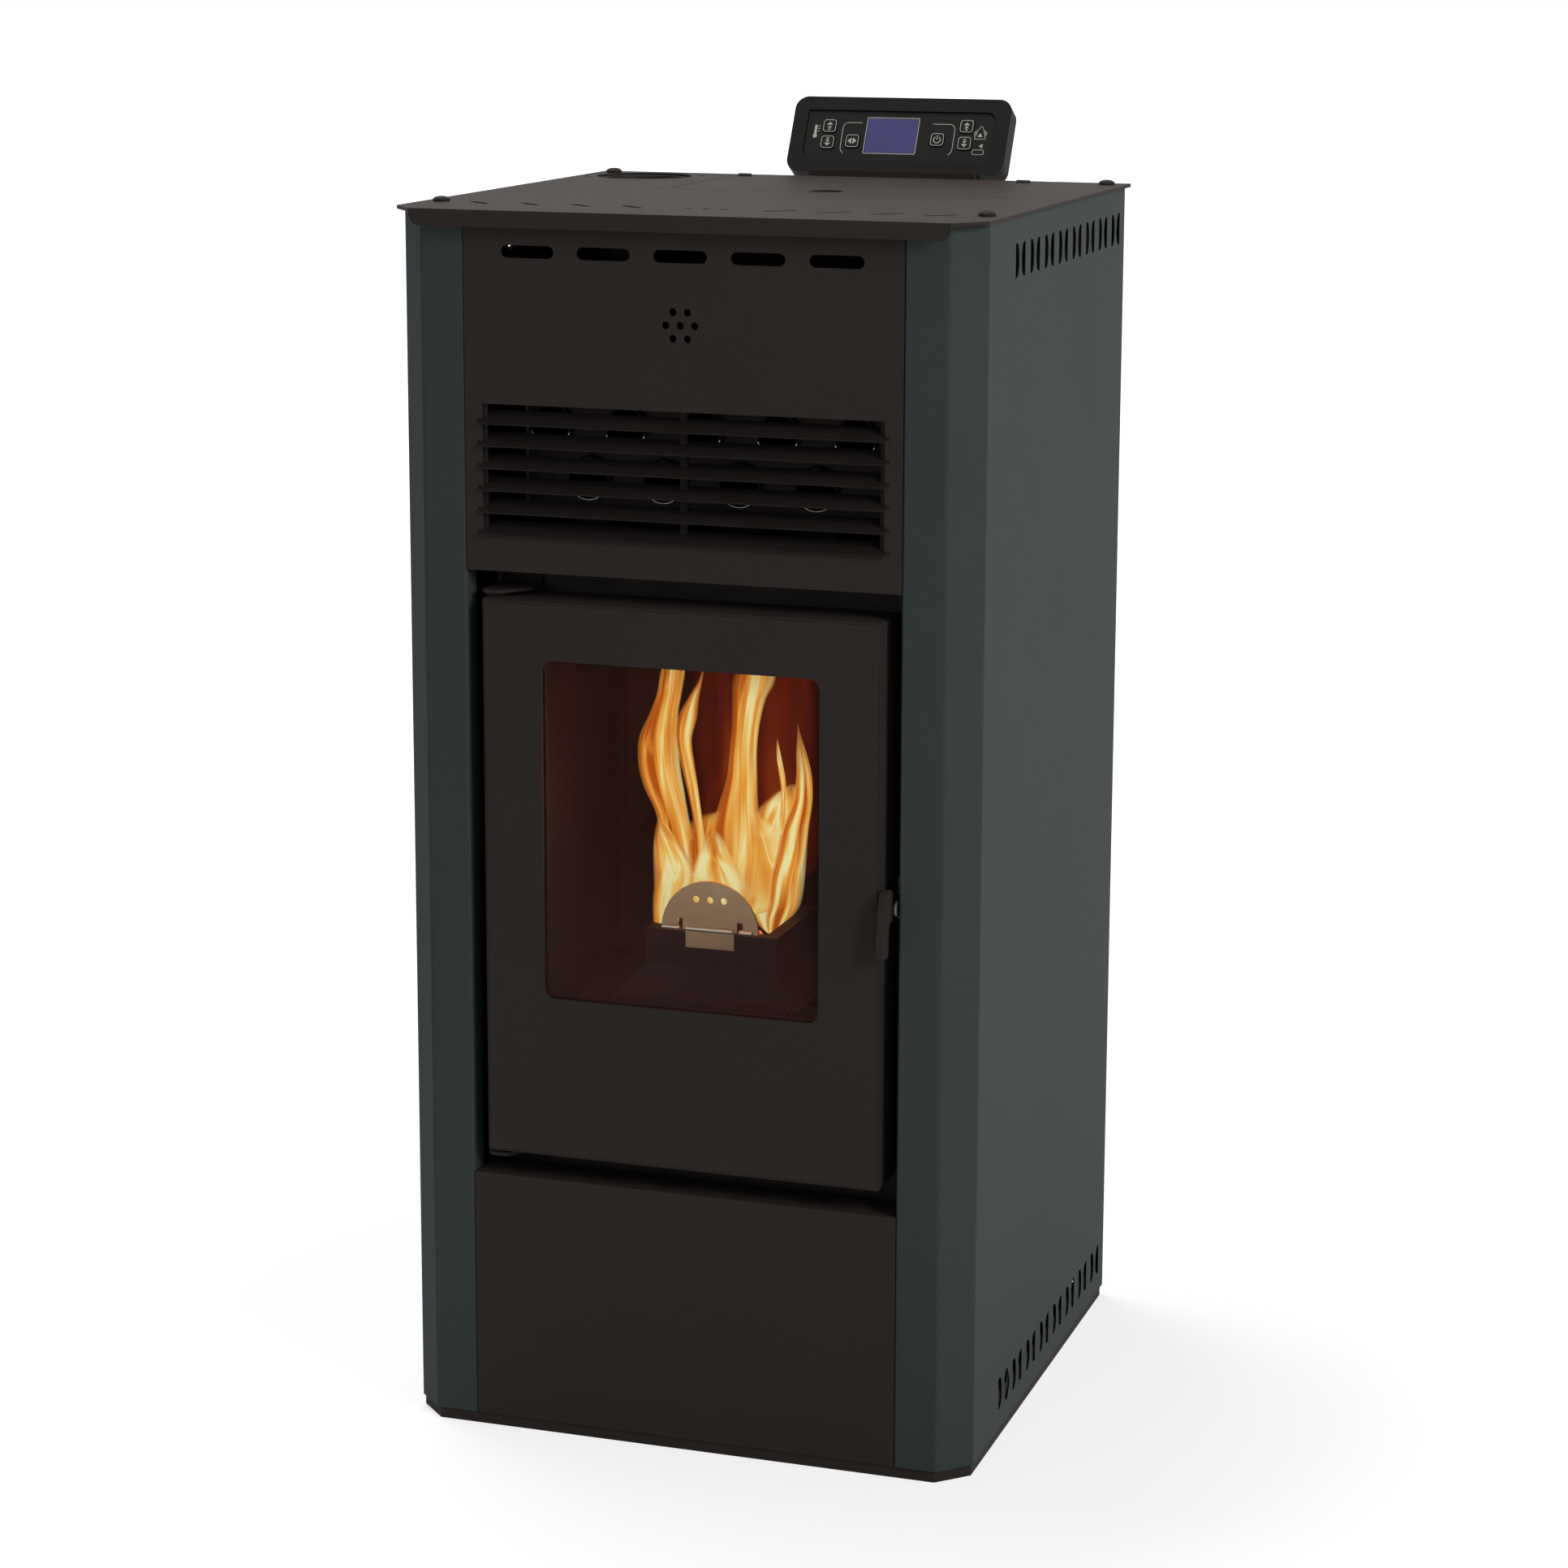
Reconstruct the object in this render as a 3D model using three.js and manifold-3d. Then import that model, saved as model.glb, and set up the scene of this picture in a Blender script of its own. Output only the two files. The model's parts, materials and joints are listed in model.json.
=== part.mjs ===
// A free-standing pellet stove: folded steel casing with chamfered front corners, a louvred warm-air
// outlet, a glazed cast door, a top plate with a hopper lid and flue hole, and a tilted control panel.
// Inside are the firebox, burn pot, tube heat exchanger, hopper, auger and the two fans.
// Millimetres, +Z up, the door faces -Y. The origin is the centre of the footprint, on the floor.

import * as THREE from "three";
import { mergeVertices } from "three/addons/utils/BufferGeometryUtils.js";
import Module from "manifold-3d";

const wasm = await Module();
wasm.setup();

// ---------------------------------------------------------------- driving dimensions

const gap = 0.3;                // clearance between pieces that meet
const sheet = 1.5;              // casing sheet
const frontSheet = 2;           // front panels and top plate lip
const arcSteps = 3;             // facets in a small rounded corner
const facetTolerance = 0.01;    // edges shorter than this are closed up after joining and cutting

const casingWidth = 483.5;
const casingDepth = 470;
const casingHeight = 1000;      // side panels, without plinth and top plate
const cornerCutX = 24.25;       // chamfer of the front corners
const cornerCutY = 23.8;
const stripWidth = 35.7;        // flat front strip of each side panel
const bendRadius = 6;
const frontReturn = 20;         // fold beside the front panels
const rearReturn = 16;          // fold over the rear panel

const plinthHeight = 10;
const plinthSheet = 2;
const upstandHeight = 30;
const upstandEnds = 34;         // the upstands stop short of the corners

const sideSlotCount = 16;
const sideSlotRearMargin = 23;
const sideSlotHeight = 27;
const sideSlotWidth = 11;
const sideSlotBow = 3.4;
const sideSlotFirstY = 105;
const sideSlotTipShift = 1.1;
const sideSlotSteps = 4;
const upperSlotBelowTop = 33.5;
const lowerSlotAboveBottom = 29;

const topThickness = 3;
const topOverhangSide = 2.25;
const topOverhangRear = 10;
const topOverhangFront = 14;
const topCornerY = 14;
const lipInset = 22;
const lipHeight = 13.5;
const lipCorner = 9;

const flueRadius = 40;
const fluePipeWall = 1.5;
const flueSides = 36;
const flueStubBelow = 2;        // the pipe ends this far below the top plate's face
const flueHoleMargin = 2.5;
const flueFromSide = 55.75;
const flueFromRear = 46;
const collarWidth = 9;
const collarThickness = 4;
const knockoutMargin = 10;
const knockoutSlit = 1.2;
const knockoutSweep = 96;

const topSlotCount = 4;
const topSlotLength = 30;
const topSlotWidth = 6;
const topSlotPitch = 43.5;
const topSlotFirstX = 62;
const topSlotY = 61;
const topSlotTurn = 42;
const topDotRadius = 3.5;
const topDotPitch = 15;
const slitCount = 5;
const slitLength = 65;
const slitWidth = 1.6;
const slitPitch = 87.5;
const slitBeforeLid = 24;

const screwHeadRadius = 7;
const screwHeadHeight = 4;
const screwShankRadius = 3;
const screwShankLength = 12;
const screwInsetX = 14;
const tabHalf = 7.6;
const screwFrontY = 66;
const screwRearInset = 12;

const lidWidth = 276;
const lidDepth = 163;
const lidCentreX = 26;
const lidFromRear = 15;
const lidGap = 0.8;
const fingerRadius = 15;
const lidKnuckleRadius = 2.5;
const lidKnuckleLength = 12;

const sealThickness = 5.2;
const sealWidth = 14;
const sealUnderPlate = 5.5;
const hopperWall = 1.5;
const hopperFlange = 2;
const hopperThroatAboveAuger = 118.5;
const hopperFunnelHeight = 160;
const throatHalf = 25;
const guardDrop = 60;
const guardBar = 4;
const guardBarCount = 5;

const upperPanelHeight = 284.5;
const lowerPanelTop = 211;
const panelFlange = 22;
const lowerTopFlange = 38;
const ventCount = 5;
const ventPitch = 63.7;
const ventWidth = 45;
const ventHeight = 10;
const ventBelowTop = 29.6;
const rosetteRadius = 12;
const rosetteHoles = 6;
const rosetteHoleRadius = 3.2;
const rosetteBelowTop = 83;

const grilleInset = 14.8;
const grilleAboveEdge = 28;
const grilleHeight = 106;
const bladeCount = 6;
const bladePitch = 17.8;
const bladeOverlap = 3.8;
const bladeProud = 4;
const bladeDepth = 17;
const bladeRise = 9;
const bladeThickness = 1.4;
const bladeCorner = 5;
const grillePostWidth = 6;
const grillePostDepth = 5;
const grilleEndWidth = 9;

const doorInset = 13.8;
const doorLowGap = 21;          // between the door and the panel below it
const doorHighGap = 22;
const doorProud = 4;
const doorDepth = 48;
const doorWall = 3;
const doorEdge = 3;
const doorRearFlange = 26;
const windowInset = 51.25;
const windowAboveDoorFoot = 134;
const windowBelowDoorTop = 48;
const windowCorner = 9;
const glassThickness = 4;
const glassMargin = 12;
const retainerWidth = 18;
const retainerThickness = 2;
const doorSealWidth = 10;
const doorSealInset = 13;

const hingeInset = 6;
const hingeY = 11;
const hingePinRadius = 4;
const hingePinLength = 12;
const bracketThickness = 3;
const bracketGap = 3;
const bracketWidth = 36;
const bracketFlangeHeight = 18;

const handleThickness = 6;
const handleY = 14;
const handleAboveDoorFoot = 230;
const handleBoss = 11;
const handleGripTop = 22;
const handleGripDrop = 34;
const handleGripReach = 34;
const handleGripWidth = 15;
const handleNose = 32;
const handleNoseLow = 7;
const handleNoseHigh = 5;
const handleNoseCorner = 5;
const pivotRadius = 4;
const pivotHeadRadius = 6.5;
const pivotHeadHeight = 2.5;
const catchHeight = 34;

const fireFrontY = 50;
const fireFrame = 4;
const fireFrameInset = 5.8;
const fireFrameBelow = 46;
const fireFrameAbove = 20;
const fireInset = 16;
const machineRoom = 208;        // depth behind the firebox
const fireWall = 4;
const fireAboveDoorFoot = 20;
const fireBelowUpperPanel = 15.5;
const fireDoorInset = 30;
const fireDoorLow = 4;
const fireDoorHigh = 20;
const hearthAboveFloor = 98;
const hearthThickness = 4;
const hearthSlotWidth = 24;
const smokeHoleMargin = 24;
const liningThickness = 8;
const liningRibs = 9;
const liningRibDepth = 4;
const baffleDrop = 26;
const baffleThickness = 5;
const baffleMargin = 34;

const potHolderFootHalf = 82;
const potHolderTopHalf = 57;
const potSetback = 22;
const potBehind = 78;
const potFootMargin = 20;
const potHolderHeight = 56;
const potRim = 5;
const potRimHeight = 24;
const potRimWidth = 8;
const potWall = 3;
const potFloorThickness = 4;
const potHoleRadius = 3.5;
const potHoleGrid = 3;
const flamePlateRadius = 42;
const flamePlateThickness = 2;
const flamePlateFoot = 2.4;
const flameTabHalf = 21;
const flameTabDrop = 15;
const flameSlotWidth = 5;
const flameDotRadius = 3;

const ashGap = 10;
const ashDrawerTop = 62;
const ashWall = 1.5;

const exchangerHeight = 172;
const exchangerWall = 3;
const tubeRadius = 18;
const tubeWall = 1.5;
const tubeRows = 3;
const tubesInLongRow = 5;
const tubeInset = 24;            // from the firebox side to the outer tubes
const tubeRowPitch = 42;
const tubeFirstRow = 44;
const tubeProud = 5;
const tubeSides = 12;

const augerAngle = 60;          // from the horizontal
const augerFromRear = 82;
const augerAboveHearth = 74;
const augerLength = 170;
const augerTubeRadius = 28;
const augerTubeWall = 2;
const augerFlightRadius = 22;
const augerShaftRadius = 7;
const augerShaftTail = 8;
const augerPitch = 38;
const augerFlightThickness = 3;
const augerTurnSteps = 10;
const augerStartAngle = 0.13;
const gearboxLength = 34;
const motorLength = 56;
const motorRadius = 26;
const gearboxHalf = 30;
const chuteHalf = 35;
const chuteWall = 2;
const chuteDepth = 70;
const chuteBelowTop = 100;
const chuteRearAboveHearth = 195;
const chuteFrontAboveHearth = 122;

const igniterRadius = 5;
const igniterAboveHearth = 36;
const igniterTail = 34;
const igniterCollarRadius = 10;

const intakeRadius = 25;
const intakeWall = 1.5;
const intakeX = -70;
const intakeAboveFloor = 48;
const intakeProud = 20;

const smokeFanRadius = 62;
const smokeFanWidth = 52;
const smokeFanWall = 2;
const smokeFanFromRear = 70;
const smokeFanZ = 130;
const smokeOutletTop = 200;
const smokeWheelRadius = 50;
const smokeBladeCount = 8;
const smokeMotorRadius = 32;
const smokeMotorLength = 60;
const smokeShaftRadius = 4;
const smokePortHalf = 15;
const smokePortFromSide = 22;
const smokeDuctHeight = 56;
const smokeDuctDepth = 42;

const roomFanLeft = -62;
const roomFanRight = 152;
const roomFanFromRear = 104;
const roomFanZ = 72;
const roomFanRadius = 56;
const roomWheelRadius = 45;
const roomWheelThickness = 3;
const roomBladeCount = 12;
const roomScrollStart = -160;
const roomScrollSweep = 190;
const roomMotorRadius = 30;
const roomMotorLength = 40;

const boxDepth = 34;
const boxFromRear = 170;
const boxLength = 140;
const boxBottom = 200;
const boxHeight = 140;

const inletFromSide = 51.75;
const inletBottom = 38;
const inletWidth = 48;
const inletHeight = 78;
const inletFlange = 2.2;
const inletBody = 24;
const socketWidth = 26;
const socketHeight = 20;
const socketDepth = 17;
const rockerWidth = 13;
const rockerHeight = 19;
const rockerThickness = 10;
const rockerCrown = 2.6;
const rockerMargin = 1.6;

const rearVentCount = 7;
const rearVentPitch = 14;
const rearVentWidth = 120;
const rearVentHeight = 6;
const rearVentX = 60;
const rearVentFirstZ = 380;

const panelWidth = 201;
const panelTall = 74;
const panelDeep = 20;
const panelCorner = 12;
const panelLean = 29;           // back from the vertical
const panelCentreX = 26;
const panelBottomZ = 1007;
const panelBehindTop = 5;
const bezelWidth = 174;
const bezelTall = 47;
const bezelCorner = 9;
const bezelThickness = 2.5;
const bezelRecess = 1.5;
const screenWidth = 46;
const screenTall = 33;
const screenX = -7;
const screenThickness = 2;
const keySize = 13;
const keyCorner = 2.5;
const keyTravel = 0.6;
const keyProud = 0.9;
const keyMargin = 0.4;
const keyPlaces = [
  { name: "key_left_up", u: -65.5, v: 8.5 },
  { name: "key_left_down", u: -65.5, v: -7.5 },
  { name: "key_menu", u: -42.5, v: -6 },
  { name: "key_power", u: 36, v: -3 },
  { name: "key_right_up", u: 61.5, v: 10.5 },
  { name: "key_right_down", u: 61.5, v: -6 },
];
const neckHalf = 77;
const neckSheet = 2;
const neckRun = 11;
const neckReach = 0.55;          // share of the panel's height that the neck backs

// ---------------------------------------------------------------- places that follow from them

// Facets round the turned and drilled pieces.
const holeFacets = 10;
const shaftFacets = 12;
const pivotFacets = 14;
const pinFacets = 16;
const motorFacets = 18;
const discFacets = 20;
const tubeFacets = 24;
const wheelFacets = 28;
const flueFacets = 36;

// Margins inside the pieces.
const trayVentShift = 0.6;        // shares of the rear vents' width and pitch
const trayVentShare = 0.7;
const trayVentSpacing = 1.4;
const sideSlotEndShare = 0.3;
const returnRadius = sheet * 1.4;
const inletLip = 4;
const lidKnuckleFromEnd = 4;
const knockoutCount = 3;
const knockoutStart = 12;
const screwDomeFoot = 20;         // degrees above the horizon
const throatBehindAuger = 24;
const throatBeforeAuger = 16;
const throatAboveAuger = 26;
const flightStart = 3;
const flightEnd = 4;
const chuteFlare = 1.5;
const chuteFlangeDepth = 4;
const chuteMouthLip = 5;
const chuteMouthRise = 10;
const openingLip = 8;             // left round the firebox openings
const hearthSlotInset = 4;
const hearthSlotFromFront = 20;
const hearthSlotFromBack = 30;
const potHoleBehind = 40;
const potShoulder = 2;
const liningRibShare = 0.22;
const liningRibMargin = 12;
const potFloorRise = 0.2;
const potHoleSpread = 0.55;
const potRowSpread = 77 / 320;    // of the pot's depth
const flameSlotHeight = 9;
const flameDotPitch = 12;
const flameDotRise = 0.62;
const ashDrawerGripHalf = 26;
const ashDrawerGripTop = 8;
const igniterReach = 6;
const handleStandOff = 0.7;
const bracketBehind = 9;
const bracketTongue = 16;
const bracketRadius = 6;

const halfWidth = casingWidth / 2;
const openHalf = halfWidth - cornerCutX - stripWidth;
const panelHalf = openHalf - gap;
const sideSlotPitch = (casingDepth - sideSlotFirstY - sideSlotRearMargin) / (sideSlotCount - 1);
const lipHalfWidth = halfWidth + topOverhangSide - lipInset;
const upperPanelBottom = casingHeight - upperPanelHeight;
const grilleHalf = openHalf - grilleInset;
const grilleBottom = upperPanelBottom + grilleAboveEdge;
const doorHalf = openHalf - doorInset;
const doorBottom = lowerPanelTop + doorLowGap;
const doorTop = upperPanelBottom - doorHighGap;
const windowHalf = doorHalf - windowInset;
const windowBottom = doorBottom + windowAboveDoorFoot;
const windowTop = doorTop - windowBelowDoorTop;
const hingeX = hingeInset - doorHalf;
const handleZ = doorBottom + handleAboveDoorFoot;
const plateBottom = casingHeight + gap;
const plateTop = plateBottom + topThickness;
const plateRearY = casingDepth + topOverhangRear;
const rearPanelBack = casingDepth - sheet - gap;
const rearPanelFront = rearPanelBack - sheet;
const trayFloor = -plinthHeight + plinthSheet;
const doorFrontY = -doorProud;
const doorBackY = doorFrontY + doorDepth;
const fireFrameHalf = openHalf - fireFrameInset;
const fireHalf = doorHalf - fireInset;
const fireDoorHalf = doorHalf - fireDoorInset;
const tubePitch = (2 * (fireHalf - tubeInset)) / (tubesInLongRow - 1);
const fireBackY = casingDepth - machineRoom;
const fireBottom = doorBottom + fireAboveDoorFoot;
const fireTop = upperPanelBottom - fireBelowUpperPanel;
const hearthZ = fireBottom + hearthAboveFloor;
const potFrontY = fireFrontY + potSetback;
const potDepth = fireBackY - potBehind - potFrontY;
const augerLowY = casingDepth - augerFromRear;
const augerLowZ = hearthZ + augerAboveHearth;
const chuteTop = fireTop - chuteBelowTop;
const chuteRearLow = hearthZ + chuteRearAboveHearth;
const chuteFrontLow = hearthZ + chuteFrontAboveHearth;
const igniterZ = hearthZ + igniterAboveHearth;
const intakeZ = fireBottom + intakeAboveFloor;
const smokePortX = smokePortFromSide - fireHalf;
const smokeFanY = casingDepth - smokeFanFromRear;
const roomFanY = casingDepth - roomFanFromRear;
const boxFrontY = casingDepth - boxFromRear;
const inletX = halfWidth - inletFromSide;
const flueX = flueFromSide - halfWidth;
const flueY = casingDepth - flueFromRear;
const lidRearY = casingDepth - lidFromRear;
const lidFrontY = lidRearY - lidDepth;
const slitY = lidFrontY - slitBeforeLid;
const lidLeft = lidCentreX - lidWidth / 2;
const lidRight = lidCentreX + lidWidth / 2;
const lean = THREE.MathUtils.degToRad(panelLean);
const panelFootY = plateRearY + panelBehindTop;
const panelRearY = panelFootY + panelTall * Math.sin(lean) + panelDeep * Math.cos(lean);
const handleFrontY = handleY - handleGripReach;
const foremostY = Math.min(handleFrontY, -topOverhangFront);
const originY = (foremostY + panelRearY) / 2;

// ---------------------------------------------------------------- shape helpers

const v2 = (x, y) => new THREE.Vector2(x, y);

/** Drops the seams of a geometry, so that neighbouring faces share their corners. */
function weld(geometry) {
  const bare = geometry.index ? geometry.toNonIndexed() : geometry;
  bare.deleteAttribute("normal");
  bare.deleteAttribute("uv");
  const merged = mergeVertices(bare, 1e-4);
  const kept = [];
  const index = merged.index.array;
  for (let i = 0; i < index.length; i += 3) {
    const [a, b, c] = [index[i], index[i + 1], index[i + 2]];
    if (a !== b && b !== c && c !== a) kept.push(a, b, c);
  }
  merged.setIndex(kept);
  return merged;
}

/** A closed geometry as a solid that can be joined and cut. */
function solid(geometry) {
  const closed = weld(geometry);
  return new wasm.Manifold(new wasm.Mesh({
    numProp: 3,
    vertProperties: new Float32Array(closed.attributes.position.array),
    triVerts: new Uint32Array(closed.index.array),
  }));
}

function join(...solids) {
  return solids.reduce((sum, next) => sum.add(next));
}

function cut(body, ...tools) {
  return tools.reduce((rest, tool) => rest.subtract(tool), body);
}

function box(x0, x1, y0, y1, z0, z1) {
  const geometry = new THREE.BoxGeometry(x1 - x0, y1 - y0, z1 - z0);
  geometry.translate((x0 + x1) / 2, (y0 + y1) / 2, (z0 + z1) / 2);
  return solid(geometry);
}

const axisBases = {
  x: [new THREE.Vector3(0, 1, 0), new THREE.Vector3(0, 0, 1), new THREE.Vector3(1, 0, 0)],
  y: [new THREE.Vector3(1, 0, 0), new THREE.Vector3(0, 0, 1), new THREE.Vector3(0, -1, 0)],
  z: [new THREE.Vector3(1, 0, 0), new THREE.Vector3(0, 1, 0), new THREE.Vector3(0, 0, 1)],
};

/** An outline pushed along an axis. Outlines are in YZ for axis x, in XZ for axis y, in XY for axis z. */
function prism(outline, axis, from, to) {
  const geometry = new THREE.ExtrudeGeometry(new THREE.Shape(outline), {
    depth: to - from,
    bevelEnabled: false,
  });
  geometry.applyMatrix4(new THREE.Matrix4().makeBasis(...axisBases[axis]));
  const start = axis === "y" ? to : from;
  geometry.translate(axis === "x" ? start : 0, axis === "y" ? start : 0, axis === "z" ? start : 0);
  return solid(geometry);
}

/** A round bar. at is the place of its axis in the outline plane of prism. */
function bar(radius, axis, from, to, at, sides = 20) {
  return prism(circle(at, radius, sides), axis, from, to);
}

function circle(at, radius, sides) {
  return arc(at, radius, 0, 360 - 360 / sides, sides - 1);
}

function arc(at, radius, startDegrees, sweepDegrees, steps) {
  const points = [];
  for (let i = 0; i <= steps; i++) {
    const angle = THREE.MathUtils.degToRad(startDegrees + (sweepDegrees * i) / steps);
    points.push(v2(at.x + radius * Math.cos(angle), at.y + radius * Math.sin(angle)));
  }
  return points;
}

/** Replaces the corners of a path by arcs. */
function fillet(points, radius, closed = true, steps = arcSteps) {
  const rounded = [];
  points.forEach((corner, i) => {
    const before = points[(i - 1 + points.length) % points.length];
    const after = points[(i + 1) % points.length];
    const atEnd = !closed && (i === 0 || i === points.length - 1);
    const r = Array.isArray(radius) ? radius[i] : radius;
    if (atEnd || r <= 0) {
      rounded.push(corner.clone());
      return;
    }
    const back = before.clone().sub(corner).normalize();
    const ahead = after.clone().sub(corner).normalize();
    const half = Math.acos(THREE.MathUtils.clamp(back.dot(ahead), -1, 1)) / 2;
    const reach = r / Math.tan(half);
    const middle = back.clone().add(ahead).normalize().multiplyScalar(r / Math.sin(half)).add(corner);
    const start = back.multiplyScalar(reach).add(corner).sub(middle);
    const end = ahead.multiplyScalar(reach).add(corner).sub(middle);
    const from = start.angle();
    let sweep = end.angle() - from;
    if (sweep > Math.PI) sweep -= 2 * Math.PI;
    if (sweep < -Math.PI) sweep += 2 * Math.PI;
    for (let k = 0; k <= steps; k++) {
      const angle = from + (sweep * k) / steps;
      rounded.push(v2(middle.x + r * Math.cos(angle), middle.y + r * Math.sin(angle)));
    }
  });
  return rounded;
}

function rectangle(x0, x1, y0, y1, radius = 0) {
  const corners = [v2(x0, y0), v2(x1, y0), v2(x1, y1), v2(x0, y1)];
  return radius > 0 ? fillet(corners, radius) : corners;
}

/** A slot with round ends, turned about its centre. */
function stadium(at, length, width, degrees = 0, steps = arcSteps) {
  const reach = (length - width) / 2;
  const ends = [
    ...arc(v2(reach, 0), width / 2, -90, 180, steps),
    ...arc(v2(-reach, 0), width / 2, 90, 180, steps),
  ];
  const angle = THREE.MathUtils.degToRad(degrees);
  return ends.map((point) => point.rotateAround(v2(0, 0), angle).add(at));
}

/** A folded sheet: a path given a thickness on its left side. */
function foldedStrip(path, thickness) {
  const inner = path.map((point, i) => {
    const along = (from, to) => path[to].clone().sub(path[from]).normalize();
    const before = along(Math.max(i - 1, 0), Math.max(i, 1));
    const after = along(Math.min(i, path.length - 2), Math.min(i + 1, path.length - 1));
    const middle = before.clone().add(after).normalize();
    const stretch = thickness / Math.max(middle.dot(before), 0.2);
    return v2(point.x - middle.y * stretch, point.y + middle.x * stretch);
  });
  return [...path, ...inner.reverse()];
}

/** A solid between two rectangles at two heights. */
function taper(low, high, z0, z1) {
  const corner = ([x0, x1, y0, y1], z) => [[x0, y0, z], [x1, y0, z], [x1, y1, z], [x0, y1, z]];
  const points = [...corner(low, z0), ...corner(high, z1)].flat();
  const geometry = new THREE.BufferGeometry();
  geometry.setAttribute("position", new THREE.Float32BufferAttribute(points, 3));
  geometry.setIndex([
    0, 2, 1, 0, 3, 2, 4, 5, 6, 4, 6, 7,
    0, 1, 5, 0, 5, 4, 1, 2, 6, 1, 6, 5, 2, 3, 7, 2, 7, 6, 3, 0, 4, 3, 4, 7,
  ]);
  return solid(geometry);
}

const shrink = ([x0, x1, y0, y1], by) => [x0 + by, x1 - by, y0 + by, y1 - by];

// ---------------------------------------------------------------- materials and the scene graph

const finish = (color, roughness, metalness) =>
  new THREE.MeshStandardMaterial({ color, roughness, metalness });

const materials = {
  slatePaint: finish(0x363e3f, 0.6, 0.2),
  blackPaint: finish(0x2b2725, 0.65, 0.2),
  castIron: finish(0x2a2624, 0.7, 0.4),
  glass: finish(0x2a1a14, 0.05, 0),
  rope: finish(0x6d6a64, 0.95, 0),
  steel: finish(0x8a8b8c, 0.4, 0.9),
  flameSteel: finish(0xa08a6a, 0.45, 0.8),
  darkPlastic: finish(0x1b1a1b, 0.55, 0),
  keypad: finish(0x121214, 0.4, 0),
  screen: finish(0x4c4a8f, 0.25, 0),
  lining: finish(0x3a332e, 0.9, 0),
  motor: finish(0x5d6064, 0.5, 0.7),
};

const stove = new THREE.Group();
const casingFrame = new THREE.Group();
casingFrame.position.set(0, -originY, plinthHeight);
stove.add(casingFrame);

function addNode(name, shape, material, parent = casingFrame) {
  const mesh = shape.simplify(facetTolerance).getMesh();
  const geometry = new THREE.BufferGeometry();
  geometry.setAttribute("position", new THREE.Float32BufferAttribute(mesh.vertProperties, 3));
  geometry.setIndex(Array.from(mesh.triVerts));
  geometry.computeVertexNormals();
  const node = new THREE.Mesh(geometry, material);
  node.name = name;
  parent.add(node);
  return node;
}

// ---------------------------------------------------------------- casing

function plinthOutline(inset) {
  const side = halfWidth - sheet - gap - inset;
  const front = sheet + gap + inset;
  const cutX = cornerCutX;
  const cutY = cornerCutY;
  return [
    v2(-side, rearPanelFront - gap - inset), v2(-side, front + cutY), v2(-side + cutX, front),
    v2(side - cutX, front), v2(side, front + cutY), v2(side, rearPanelFront - gap - inset),
  ];
}

function makeBase() {
  const tray = cut(
    prism(plinthOutline(0), "z", -plinthHeight, -gap),
    prism(plinthOutline(plinthSheet), "z", trayFloor, plinthHeight),
  );
  const side = halfWidth - sheet - gap;
  const rear = rearPanelFront - gap;
  const frontEnd = cornerCutY + upstandEnds;
  const upstands = [-1, 1].map((hand) => {
    const edges = [hand * side, hand * (side - plinthSheet)].sort((a, b) => a - b);
    return box(edges[0], edges[1], frontEnd, rear - upstandEnds, trayFloor - 1, upstandHeight);
  });
  const rearWall = box(-side + upstandEnds, side - upstandEnds, rear - plinthSheet, rear, trayFloor - 1,
    upstandHeight);
  const inlets = [];
  for (let i = 0; i < rearVentCount; i++) {
    const place = v2(rearVentX - rearVentWidth * trayVentShift + i * rearVentPitch * trayVentSpacing,
      roomFanY);
    inlets.push(prism(stadium(place, rearVentWidth * trayVentShare, rearVentHeight, 90), "z",
      -plinthHeight - 1,
      trayFloor + 1));
  }
  return cut(join(tray, ...upstands, rearWall), ...inlets);
}

/** One bowed ventilation slot, in the YZ plane. */
function bowedSlot(at, bow) {
  const edge = (offset, down) => {
    const points = [];
    for (let i = 0; i <= sideSlotSteps; i++) {
      const t = (down ? sideSlotSteps - i : i) / sideSlotSteps;
      const bulge = Math.sin(Math.PI * t);
      const share = sideSlotEndShare + (1 - sideSlotEndShare) * bulge;
      const shift = bow * bulge + Math.sign(bow) * sideSlotTipShift * (1 - 2 * t);
      points.push(v2(at.x + shift + offset * share, at.y + sideSlotHeight * (t - 0.5)));
    }
    return points;
  };
  return [...edge(sideSlotWidth / 2, false), ...edge(-sideSlotWidth / 2, true)];
}

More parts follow.
